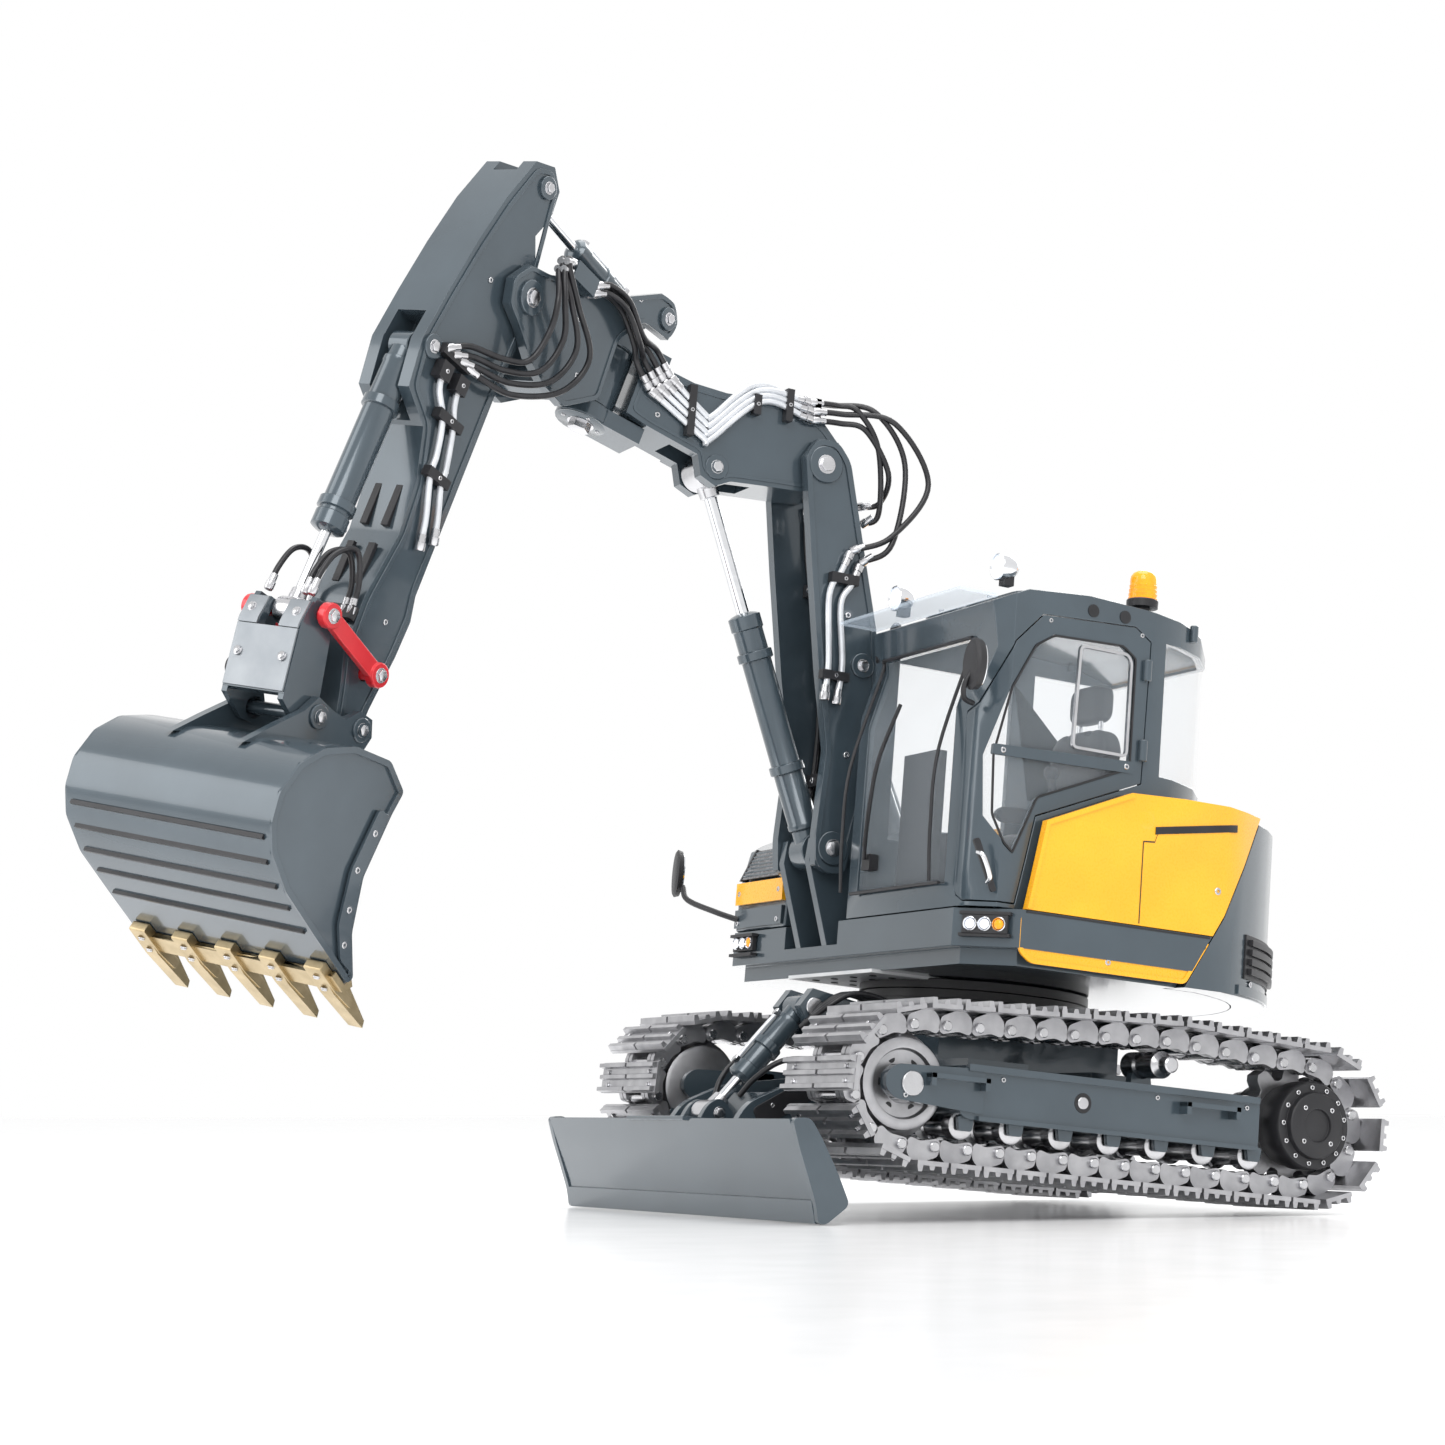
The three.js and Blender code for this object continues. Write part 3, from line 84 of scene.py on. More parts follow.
def surface(name, dark, light, rough=(0.3, 0.4), metallic=0.0, grain=900.0, bump=0.05, patch=60.0,
            coat=0.0, stretch=(1, 1, 1), cells=False, sheen=0.0, bump_mm=0.1):
    """A solid finish: two shades in soft patches, roughness and relief from a fine grain."""
    made, nodes, links, shader = new_material(name)
    place = nodes.new("ShaderNodeTexCoord")
    mapping = nodes.new("ShaderNodeMapping")
    mapping.inputs["Scale"].default_value = stretch
    links.new(place.outputs["Object"], mapping.inputs["Vector"])
    patches = nodes.new("ShaderNodeTexNoise")
    patches.inputs["Scale"].default_value = patch
    patches.inputs["Detail"].default_value = 5
    fine = nodes.new("ShaderNodeTexVoronoi" if cells else "ShaderNodeTexNoise")
    fine.inputs["Scale"].default_value = grain
    grain_out = fine.outputs["Distance"] if cells else fine.outputs["Fac"]
    if not cells:
        fine.inputs["Detail"].default_value = 3
    links.new(mapping.outputs["Vector"], patches.inputs["Vector"])
    links.new(mapping.outputs["Vector"], fine.inputs["Vector"])
    shade = nodes.new("ShaderNodeMix")
    shade.data_type = "RGBA"
    shade.inputs["A"].default_value = (*dark, 1)
    shade.inputs["B"].default_value = (*light, 1)
    blend = nodes.new("ShaderNodeMapRange")
    blend.inputs["From Min"].default_value = 0.3
    blend.inputs["From Max"].default_value = 0.7
    links.new(patches.outputs["Fac"], blend.inputs["Value"])
    links.new(blend.outputs["Result"], shade.inputs["Factor"])
    links.new(shade.outputs["Result"], shader.inputs["Base Color"])
    gloss = nodes.new("ShaderNodeMapRange")
    gloss.inputs["To Min"].default_value, gloss.inputs["To Max"].default_value = rough
    links.new(grain_out, gloss.inputs["Value"])
    links.new(gloss.outputs["Result"], shader.inputs["Roughness"])
    relief = nodes.new("ShaderNodeBump")
    relief.inputs["Strength"].default_value = bump
    relief.inputs["Distance"].default_value = bump_mm * MM
    links.new(grain_out, relief.inputs["Height"])
    links.new(relief.outputs["Normal"], shader.inputs["Normal"])
    shader.inputs["Metallic"].default_value = metallic
    shader.inputs["Coat Weight"].default_value = coat
    shader.inputs["Coat Roughness"].default_value = 0.08
    shader.inputs["Sheen Weight"].default_value = sheen
    return made


def glazing(name, tint, alpha):
    """Thin clear sheet, seen through, with faint ripples."""
    made, nodes, links, shader = new_material(name)
    place = nodes.new("ShaderNodeTexCoord")
    ripple = nodes.new("ShaderNodeTexNoise")
    ripple.inputs["Scale"].default_value = 35
    relief = nodes.new("ShaderNodeBump")
    relief.inputs["Strength"].default_value = 0.04
    relief.inputs["Distance"].default_value = MM
    gloss = nodes.new("ShaderNodeMapRange")
    gloss.inputs["To Min"].default_value = 0.02
    gloss.inputs["To Max"].default_value = 0.05
    links.new(place.outputs["Object"], ripple.inputs["Vector"])
    links.new(ripple.outputs["Fac"], relief.inputs["Height"])
    links.new(ripple.outputs["Fac"], gloss.inputs["Value"])
    links.new(gloss.outputs["Result"], shader.inputs["Roughness"])
    links.new(relief.outputs["Normal"], shader.inputs["Normal"])
    shader.inputs["Base Color"].default_value = (*tint, 1)
    shader.inputs["Alpha"].default_value = alpha
    shader.inputs["IOR"].default_value = 1.45
    return made


PAINT = surface("slate_gloss", (0.050, 0.070, 0.086), (0.061, 0.085, 0.104), (0.18, 0.28), 0.3, 1400, 0.04, 40, 0.7)
YELLOW = surface("yellow_gloss", (0.92, 0.41, 0.004), (1.0, 0.47, 0.008), (0.22, 0.34), 0.0, 1200, 0.05, 40, 0.5)
RED = surface("red_gloss", (0.6, 0.012, 0.02), (0.7, 0.02, 0.03), (0.24, 0.36), 0.2, 1500, 0.08, 60, 0.5)
TRACK = surface("track_steel", (0.36, 0.36, 0.375), (0.5, 0.5, 0.515), (0.26, 0.42), 0.9, 2500, 0.25, 120)
STEEL = surface("bright_steel", (0.5, 0.5, 0.51), (0.64, 0.64, 0.66), (0.16, 0.3), 1.0, 1800, 0.1, 90)
CHROME = surface("chrome", (0.72, 0.73, 0.75), (0.8, 0.81, 0.83), (0.06, 0.12), 1.0, 3000, 0.04, 80, stretch=(1, 1, 6))
PIPE = surface("pipe_silver", (0.62, 0.64, 0.67), (0.76, 0.78, 0.81), (0.3, 0.42), 0.55, 2600, 0.15, 150)
BRASS = surface("tooth_brass", (0.42, 0.33, 0.19), (0.55, 0.44, 0.27), (0.28, 0.42), 0.95, 2200, 0.25, 150)
BLACK = surface("black_satin", (0.012, 0.012, 0.014), (0.022, 0.022, 0.025), (0.35, 0.5), 0.1, 1800, 0.15, 70)
PLASTIC = surface("black_moulded", (0.014, 0.014, 0.016), (0.024, 0.024, 0.027), (0.45, 0.6), 0.0, 2600, 0.4, 70)
RUBBER = surface("hose_black", (0.008, 0.008, 0.01), (0.018, 0.018, 0.021), (0.3, 0.42), 0.0, 2400, 0.2, 200)
LEATHER = surface("seat_leather", (0.012, 0.012, 0.013), (0.024, 0.023, 0.024), (0.45, 0.62), 0.0, 900, 0.5, 50,
                  cells=True, sheen=0.15)
GREY_PLATE = surface("plate_grey", (0.2, 0.22, 0.24), (0.27, 0.29, 0.31), (0.25, 0.36), 0.4, 1600, 0.1, 70, 0.3)
WHITE = surface("belly_white", (0.62, 0.63, 0.64), (0.74, 0.75, 0.76), (0.3, 0.42), 0.2, 1800, 0.1, 60)
MESH = surface("grille_mesh", (0.06, 0.06, 0.062), (0.34, 0.34, 0.35), (0.3, 0.5), 0.8, 1300, 1.0, 900, cells=True)
GLASS = glazing("clear_glazing", (0.78, 0.87, 0.95), 0.075)
VISOR = glazing("clear_visor", (0.72, 0.82, 0.92), 0.3)


def glowing(name, color, strength):
    made = surface(name, tuple(v * 0.8 for v in color), color, (0.08, 0.16), 0.0, 700, 0.4, 300, cells=True)
    shader = made.node_tree.nodes["Principled BSDF"]
    shader.inputs["Emission Color"].default_value = (*color, 1)
    shader.inputs["Emission Strength"].default_value = strength
    return made


AMBER = glowing("amber_lens", (1.0, 0.35, 0.01), 0.35)
LED = glowing("white_led", (0.9, 0.93, 1.0), 0.5)


# ---------------------------------------------------------------- shapes
def rounded(points, radius, steps=4):
    """A closed outline with its corners turned into arcs."""
    out = []
    count = len(points)
    for i in range(count):
        here = Vector(points[i]).to_2d()
        back = Vector(points[i - 1]).to_2d() - here
        on = Vector(points[(i + 1) % count]).to_2d() - here
        reach = min(radius, back.length * 0.45, on.length * 0.45)
        start, end = here + back.normalized() * reach, here + on.normalized() * reach
        for k in range(steps + 1):
            t = k / steps
            out.append(tuple(start * (1 - t) ** 2 + here * 2 * t * (1 - t) + end * t ** 2))
    return out


def circle(x, z, radius, count=28, start=0.0, stop=2 * math.pi):
    full = abs(stop - start) > 6.2
    steps = count if full else count - 1
    return [(x + radius * math.cos(start + (stop - start) * i / steps),
             z + radius * math.sin(start + (stop - start) * i / steps)) for i in range(count)]


def smooth_path(points, steps):
    """Points along a Catmull-Rom curve through the given ones."""
    pts = [Vector(p) for p in points]
    pts = [pts[0] * 2 - pts[1], *pts, pts[-1] * 2 - pts[-2]]
    out = []
    for i in range(1, len(pts) - 2):
        a, b, c, d = pts[i - 1:i + 3]
        for k in range(steps):
            t = k / steps
            out.append(0.5 * ((2 * b) + (c - a) * t + (2 * a - 5 * b + 4 * c - d) * t * t
                              + (3 * b - a - 3 * c + d) * t ** 3))
    return [*out, pts[-2]]


class Shape:
    """Collects closed pieces of mesh in millimetres, then becomes one object."""

    def __init__(self, *materials):
        self.bm = bmesh.new()
        self.materials = materials
        self.slot = 0

    def use(self, slot):
        self.slot = slot
        return self

    def _face(self, verts):
        try:
            face = self.bm.faces.new(verts)
        except ValueError:
            return
        face.material_index = self.slot

    def loops(self, rings, closed_ends=True, closed_ring=False):
        """A skin over rings of equally many points."""
        made = [[self.bm.verts.new(p) for p in ring] for ring in rings]
        count = len(made[0])
        pairs = list(zip(made, made[1:])) + ([(made[-1], made[0])] if closed_ring else [])
        for low, high in pairs:
            for i in range(count):
                j = (i + 1) % count
                self._face((low[i], low[j], high[j], high[i]))
        if closed_ends and not closed_ring:
            self._face(made[0][::-1])
            self._face(made[-1])
        return self

    def plate(self, outline, y0, y1):
        return self.loops([[(x, y, z) for x, z in outline] for y in (y0, y1)])

    def slab(self, outline, z0, z1):
        return self.loops([[(x, y, z) for x, y in outline] for z in (z0, z1)])

    def box(self, x0, x1, y0, y1, z0, z1):
        return self.slab([(x0, y0), (x1, y0), (x1, y1), (x0, y1)], z0, z1)

    def turned(self, start, end, profile, sides=24):
        """A turned piece: profile gives (distance from start, radius)."""
        start, end = Vector(start), Vector(end)
        axis = (end - start).normalized()
        side = axis.orthogonal().normalized()
        other = axis.cross(side)
        rings = [[start + axis * along + (side * math.cos(a) + other * math.sin(a)) * radius
                  for a in (2 * math.pi * i / sides for i in range(sides))] for along, radius in profile]
        return self.loops(rings)

    def bar(self, start, end, radius, sides=24, chamfer=0.3):
        length = (Vector(end) - Vector(start)).length
        chamfer = min(chamfer, radius * 0.3, length * 0.3)
        return self.turned(start, end, [(0, radius - chamfer), (chamfer, radius),
                                        (length - chamfer, radius), (length, radius - chamfer)], sides)

    def across(self, x, z, y0, y1, radius, sides=24, chamfer=0.3):
        return self.bar((x, y0, z), (x, y1, z), radius, sides, chamfer)

    def hex_bolt(self, at, normal, radius=1.4, height=1.0):
        at, normal = Vector(at), Vector(normal).normalized()
        self.turned(at - normal * 0.2, at + normal, [(0, radius * 1.25), (0.45, radius * 1.25), (0.46, radius)], 16)
        return self.turned(at, at + normal, [(0.1, radius), (height, radius), (height + 0.15, radius * 0.8)], 6)

    def cap_screw(self, at, normal, radius=1.3, height=1.0):
        at, normal = Vector(at), Vector(normal).normalized()
        return self.turned(at - normal * 0.3, at + normal, [
            (0, radius), (height + 0.1, radius), (height + 0.3, radius * 0.85), (height + 0.3, radius * 0.45),
            (height - 0.5, radius * 0.4)], 16)

    def tube(self, points, radius, sides=12, steps=6):
        path = smooth_path(points, steps) if steps > 1 else [Vector(p) for p in points]
        rings = []
        normal = (path[1] - path[0]).orthogonal().normalized()
        for i, here in enumerate(path):
            way = (path[min(i + 1, len(path) - 1)] - path[max(i - 1, 0)]).normalized()
            normal = (normal - way * normal.dot(way)).normalized()
            other = way.cross(normal)
            rings.append([here + (normal * math.cos(a) + other * math.sin(a)) * radius
                          for a in (2 * math.pi * k / sides for k in range(sides))])
        return self.loops(rings)

    def cad(self, node, space):
        """Takes over a CAD node's own faces, with its flat areas made whole."""
        source = bmesh.new()
        source.from_mesh(frame["nodes"][node].data)
        bmesh.ops.remove_doubles(source, verts=source.verts, dist=1e-6)
        bmesh.ops.dissolve_limit(source, angle_limit=0.01, verts=source.verts, edges=source.edges)
        source.transform(space.inverted())
        held = bpy.data.meshes.new("held")
        source.to_mesh(held)
        source.free()
        before = len(self.bm.faces)
        self.bm.from_mesh(held)
        bpy.data.meshes.remove(held)
        self.bm.faces.ensure_lookup_table()
        for face in self.bm.faces[before:]:
            face.material_index = self.slot
        return self

    def finish(self, name, body, space=MACHINE, bevel=0.35, smooth=38, replaces=(), slot=None):
        bmesh.ops.recalc_face_normals(self.bm, faces=self.bm.faces)
        self.bm.transform(space)
        mesh = bpy.data.meshes.new(name)
        limit = math.radians(smooth)
        for face in self.bm.faces:
            face.smooth = True
        for edge in self.bm.edges:
            edge.smooth = len(edge.link_faces) == 2 and edge.calc_face_angle(4) < limit
        self.bm.to_mesh(mesh)
        self.bm.free()
        for material in self.materials:
            mesh.materials.append(material)
        piece = bpy.data.objects.new(name, mesh)
        bpy.context.scene.collection.objects.link(piece)
        if bevel:
            edge = piece.modifiers.new("edges", "BEVEL")
            edge.width = bevel * MM
            edge.segments = 2
            edge.limit_method = "ANGLE"
            edge.angle_limit = math.radians(40)
            edge.harden_normals = True
        if body:
            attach(piece, body)
        if replaces:
            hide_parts(*replaces)
        return piece


def refined(node, body, material, slot, bevel):
    return Shape(material).cad(node, MACHINE).finish(f"{node}_skin", body, bevel=bevel, replaces=[node], slot=slot)


def disc(shape, x, z, y, side, radius, thick=1.0, sides=28):
    """A round boss on a side face: y is the face, side the way it points."""
    return shape.across(x, z, y - side * 0.3, y + side * thick, radius, sides)


def bosses(shape, side, y, spots, thick, lift, share, height, sides=32):
    """Discs (x, z, radius) on a side face, each with a bolt of a share of its radius."""
    for x, z, radius in spots:
        disc(shape.use(0), x, z, y, side, radius, thick, sides)
        shape.use(1).hex_bolt((x, y + side * lift, z), (0, side, 0), radius * share, height)


def screws(shape, side, y, spots, radius, height):
    """Cap screws at (x, z) on a side face."""
    for x, z in spots:
        shape.cap_screw((x, y, z), (0, side, 0), radius, height)


def around(count, radius, start=0.0):
    """Points spread evenly round a circle."""
    turns = [start + 2 * math.pi * k / count for k in range(count)]
    return [(radius * math.cos(a), radius * math.sin(a)) for a in turns]


def oval(x, y, z, wide, high):
    """An upright oval ring, square to x."""
    return [(x, y + wide * math.cos(a), z + high * math.sin(a)) for a in (k * math.pi / 14 for k in range(28))]


# ---------------------------------------------------------------- tracks
IDLER, SPROCKET, CREST, LINKS = (89.5, 30.2, 20.8), (-84, 31.2, 21.8), (-18, 56), 36


def arc_points(centre, start, stop, count=40):
    x, z, radius = centre
    return circle(x, z, radius, count, start, stop)


def pin_path():
    rise = math.atan2(CREST[1] - IDLER[1] - IDLER[2], IDLER[0] - CREST[0])
    fall = math.atan2(CREST[1] - SPROCKET[1] - SPROCKET[2], CREST[0] - SPROCKET[0])
    line = [(SPROCKET[0], 9.4), (IDLER[0], 9.4)]
    line += arc_points(IDLER, -math.pi / 2, math.pi / 2 - rise)
    line += [CREST]
    line += arc_points(SPROCKET, math.pi / 2 + fall, math.pi * 1.5)
    spans = [math.dist(a, b) for a, b in zip(line, line[1:])]
    step = sum(spans) / LINKS
    pins = []
    for k in range(LINKS):
        want = k * step
        i = 0
        while want > spans[i]:
            want -= spans[i]
            i += 1
        t = want / spans[i]
        pins.append(Vector(line[i]).lerp(Vector(line[i + 1]), t))
    return pins


def link_shape(shape, pin, after, side):
    along = after - pin
    length = along.length
    along = along.normalized()
    out = Vector((along.y, -along.x))

    def at(a, b):
        spot = pin + along * a + out * b
        return (spot.x, spot.y)

    inner, outer = side * 53.5, side * 104
    shape.use(0).plate([at(0.5, 5.4), at(0.5, 7.0), at(length - 0.5, 7.0), at(length - 0.5, 5.4)], inner, outer)
    for a, top in ((1.1, 9.2), (6.0, 8.5), (length - 2.6, 9.2)):
        for y0, y1 in ((54, 77.9), (79.6, 103.6)):
            shape.plate([at(a - 0.5, 6.8), at(a, top), at(a + 1.5, top), at(a + 2, 6.8)], side * y0, side * y1)
    for y0, y1 in ((65.5, 68.3), (68.8, 71.5), (86, 88.6), (89.1, 92)):
        lift = 0 if y0 in (65.5, 89.1) else 0.5
        outline = [at(-3 + lift, -1.2), at(-1.5, -2.9 + lift), at(length * 0.4, -1.6), at(length - 3.8, -2.9 + lift),
                   at(length - 2.4, -1), at(length - 2.8, 3), at(length * 0.6, 5.6), at(length * 0.3, 5.6), at(-2, 3.4)]
        shape.plate(rounded(outline, 1.2, 2), side * y0, side * y1)
    x, z = at(0, 0)
    shape.use(1).across(x, z, side * 63.8, side * 93.6, 1.9, 12)
    shape.across(x, z, side * 71.6, side * 85.9, 2.7, 14)
    for y in (60, 97.5):
        for a in (3.6, length - 4.4):
            spot = at(a, 7.0)
            shape.hex_bolt((spot[0], side * y, spot[1]), (out.x, 0, out.y), 0.9, 0.8)


PINS = pin_path()
for word, side in (("left", 1), ("right", -1)):
    chain = Shape(TRACK, STEEL)
    for k, pin in enumerate(PINS):
        link_shape(chain, pin, PINS[(k + 1) % LINKS], side)
    chain.finish(f"track_links_{word}", "undercarriage", bevel=0, replaces=[f"track_chain_{word}"], slot="track_steel")

    wheel = Shape(TRACK, BLACK, STEEL)
    teeth = []
    for k in range(10):
        start = k * math.pi / 5
        for turn, radius in ((0, 17.2), (0.1, 17.8), (0.17, 21.5), (0.24, 23.1), (0.39, 23.1), (0.46, 21.5),
                             (0.53, 17.8)):
            a = start + turn
            teeth.append((SPROCKET[0] + radius * math.cos(a), SPROCKET[1] + radius * math.sin(a)))
    wheel.plate(teeth, side * 75, side * 82)
    hub = (SPROCKET[0], SPROCKET[1])
    wheel.use(1).turned((hub[0], side * 66, hub[1]), (hub[0], side * 100, hub[1]), [
        (0, 15.6), (8, 16.4), (8.2, 15.2), (20, 15.2), (22, 16.4), (30.6, 16.4), (31.4, 15.8), (31.4, 12.6),
        (33.4, 12.2), (34, 11.4), (34, 6.2), (32.8, 5.8), (32.8, 3.4)], 48)
    for count, radius, start, y, height in ((13, 14.1, 0, 97.4, 0.7), (4, 8.7, math.pi / 4, 100, 0.4)):
        spots = [(hub[0] + a, hub[1] + b) for a, b in around(count, radius, start)]
        screws(wheel.use(2), side, side * y, spots, 1.0, height)
    node = f"sprocket_{word}"
    wheel.finish(f"drive_wheel_{word}", node, replaces=[node], slot="black_metal", bevel=0.25)

    roller = Shape(TRACK, STEEL, BLACK)
    x, z, _ = IDLER
    roller.turned((x, side * 66, z), (x, side * 91.5, z), [
        (0, 14.6), (0.8, 16.2), (7, 16.2), (7.4, 17), (8.2, 19.3), (17, 19.3), (17.8, 17), (18.2, 16.2), (24.7, 16.2),
        (25.5, 14.6), (25.3, 12.4), (23.6, 11.8), (23.4, 7), (25.3, 6.4), (25.3, 1.5)], 56)
    roller.use(1).across(x, z, side * 65.5, side * 92.3, 3.6, 20)
    for a, b in around(6, 9.4):
        roller.use(2).across(x + a, z + b, side * 89, side * 89.5, 1.6, 12)
    roller.finish(f"front_idler_{word}", f"idler_{word}", replaces=[f"idler_{word}"], slot="track_steel", bevel=0.2)

    base = Shape(PAINT, STEEL, BLACK)
    beam = [(-60, 21.5), (-58, 20), (66, 20), (69, 22), (69, 37), (66, 39), (-58, 39), (-60, 37)]
    base.plate(rounded(beam, 1.5), side * 62, side * 96)
    for y0, y1 in ((62, 64.9), (92.7, 97)):
        fork = [(60, 22), (96, 24.5), (100, 28), (100, 33), (96, 36.5), (60, 38)]
        base.plate(rounded(fork, 2), side * y0, side * y1)
    for x1, z0, z1 in ((67, 36.8, 39.3), (62, 19.7, 21.4)):
        base.plate([(-59, z0), (x1, z0), (x1, z1), (-59, z1)], side * 95.5, side * 97.6)
    for x0, x1 in ((60, 84), (-48, -24)):
        base.box(x0, x1, side * 96, side * 101, 32.8, 34.6)
        for x in (x0, x1 - 2):
            base.plate(rounded([(x, 30), (x + 2, 30), (x + 2, 34.6), (x, 34.6)], 0.3), side * 96, side * 101)
    base.plate(rounded([(54, 14), (104, 18), (104, 20.4), (54, 20.4)], 1), side * 64, side * 64.9)
    base.use(2).across(18, 30, side * 95.8, side * 96.25, 3.6)
    base.use(1)
    disc(base, 18, 30, side * 96, side, 2.3, 0.6)
    disc(base, 89.5, 30.2, side * 97, side, 4.4, 0.9)
    screws(base, side, side * 97, [(92, 26)], 1.0, 0.5)
    screws(base, side, side * 96, [(52, 35), (-14, 35), (-54, 35)], 1.0, 0.5)
    for k in range(7):
        x = 65.2 - 20.8 * k
        base.use(1).turned((x, side * 66, 17.8), (x, side * 91.5, 17.8), [
            (0, 3.8), (0.4, 5), (5.6, 5), (6, 4), (6.8, 3.6), (18.6, 3.6), (19.4, 4), (19.8, 5), (25, 5), (25.5, 3.8),
            (25.5, 1.6)], 24)
        base.across(x, 17.8, side * 91, side * 93.4, 1.8, 14)
        guard = [(x - 3.4, 21), (x - 2.6, 15.8), (x + 2.6, 15.8), (x + 3.4, 21)]
        base.use(0).plate(rounded(guard, 1), side * 92.6, side * 94.4)
    base.use(1).turned((-18, side * 72, 47.3), (-18, side * 98.5, 47.3), [
        (0, 4.2), (0.5, 5), (8, 5), (9, 4.2), (12, 4.2), (13, 5), (20, 5), (20.5, 4.2), (22, 3), (26, 3),
        (26.5, 2.4)], 28)
    base.use(0).plate(rounded([(-23, 38), (-13, 38), (-14.6, 48), (-18, 51), (-21.4, 48)], 1.5), side * 76, side * 79.5)
    base.box(-74, -59, side * 56, side * 64.5, 22, 38)
    base.use(2).turned((SPROCKET[0], side * 42, SPROCKET[1]), (SPROCKET[0], side * 64.8, SPROCKET[1]), [
        (0, 9), (1, 10.5), (12, 10.5), (13, 13), (22, 13), (22.8, 12.4)], 32)
    base.finish(f"track_base_{word}", "undercarriage", replaces=[f"track_frame_{word}"], slot="slate_paint", bevel=0.35)

# ---------------------------------------------------------------- car body, slew ring and blade
body_shape = Shape(PAINT, STEEL, RUBBER, PIPE).cad("car_body", MACHINE)
for a, b in around(24, 40):
    body_shape.use(1).cap_screw((SLEW_X + a, b, 63.5), (0, 0, 1), 0.9, 0.1)
for side in (1, -1):
    disc(body_shape, 54, 30, side * 24, side, 5.2, 0.9)
    disc(body_shape.use(1), 84, 60, side * 11, side, 3.6, 1.0)
    body_shape.use(0).box(60, 84, side * 9.8, side * 11.3, 52, 56)
    for k in range(3):
        y = side * (15 + 3.4 * k)
        body_shape.use(2).tube([
            (44, y, 54), (58, y, 62 + k), (72, y * 0.9, 66), (82, y * 0.8, 60), (88, side * 9, 52)], 1.1, 10)
        body_shape.use(3).bar((43, y, 53), (47, y, 56), 1.6, 10)
body_shape.finish("under_frame", "undercarriage", replaces=["car_body"], slot="slate_paint")

ring = Shape(BLACK, STEEL)
ring.turned((SLEW_X, 0, 64), (SLEW_X, 0, 75), [
    (0, 44.2), (0.6, 45), (3.6, 45), (4, 43.4), (7, 43.4), (7.4, 44.6), (10.6, 44.6), (11, 44)], 96)
for a, b in around(30, 44.6):
    ring.use(1).cap_screw((SLEW_X + a, b, 65.8), (a, b, 0), 0.8, 0.2)
ring.finish("turntable_ring", "undercarriage", replaces=["slew_ring"], slot="black_metal", bevel=0)

blade = Shape(PAINT, STEEL, BLACK, RUBBER)
front = smooth_path([(139, 0, 13.5), (135, 0, 4), (130.8, 0, -5), (127.4, 0, -13), (126, 0, -20.5)], 6)
back = smooth_path([(124, 0, -20.5), (119, 0, -11), (126.5, 0, -2), (130.4, 0, 7), (134.6, 0, 13.8)], 6)
section = [(p.x, p.z) for p in [*front, *back]]
blade.plate(section, -101.5, 101.5)
cheek = [(139, 13.8), (135.4, 4), (131, -6), (127.6, -14), (126.1, -20.6), (123, -20.6), (114.5, -13.4), (120, -3),
         (127, 8), (132, 14.6)]
for side in (1, -1):
    blade.plate(rounded(cheek, 2.4), side * 101, side * 104)
    arm = [(120, -8), (127, 5), (118, 21), (100, 30), (64, 36.2), (54, 36), (49, 30), (54, 24), (92, 14.5)]
    blade.plate(rounded(arm, 5, 5), side * 25, side * 29)
    cover = [(116, 19), (103, 27), (88, 30.6), (70, 32.5), (70, 29), (92, 24.5), (112, 12)]
    blade.use(2).plate(rounded(cover, 2), side * 28.8, side * 29.6)
    blade.use(0).plate(rounded([(112, 4), (130, 8), (124, 20), (119, 23), (113, 18)], 3), side * 6, side * 9)
    disc(blade, 54, 30, side * 29, side, 5, 0.8)
    blade.use(1).hex_bolt((54, side * 29.8, 30), (0, side, 0), 2.4, 1.4)
    blade.hex_bolt((119, side * 9, 17), (0, side, 0), 2.0, 1.2)
    screws(blade, side, side * 29.6, ((74, 30.6), (108, 21)), 0.9, 0.4)
    blade.use(3).tube([(88, side * 22, 40), (100, side * 19, 38), (108, side * 14, 31), (112, side * 10, 24)], 1.1, 10)
    blade.use(0)
    for y0, y1 in ((22, 32), (58, 61), (86, 89)):
        rib = [(125.5, -3), (131.5, 10), (124, 9), (114, -6), (112, -13), (117, -12)]
        blade.plate(rounded(rib, 2), side * y0, side * y1)
blade.box(100, 106, -26, 26, 14, 26)
blade.plate(rounded([(130, 12.6), (141.2, 12.6), (141.2, 14.2), (130, 14.2)], 0.5), -24, 24)
blade.plate([(123.4, -20.6), (126.2, -20.6), (128.2, -13), (125.8, -12.4)], -101.5, 101.5)
blade.use(1).across(119, 17, -9.6, 9.6, 2)
blade.finish("blade_assembly", "blade", replaces=["blade"], slot="slate_paint", bevel=0.4)


# ---------------------------------------------------------------- cylinders
HIDDEN = 16  # length of rod inside the barrel at rest


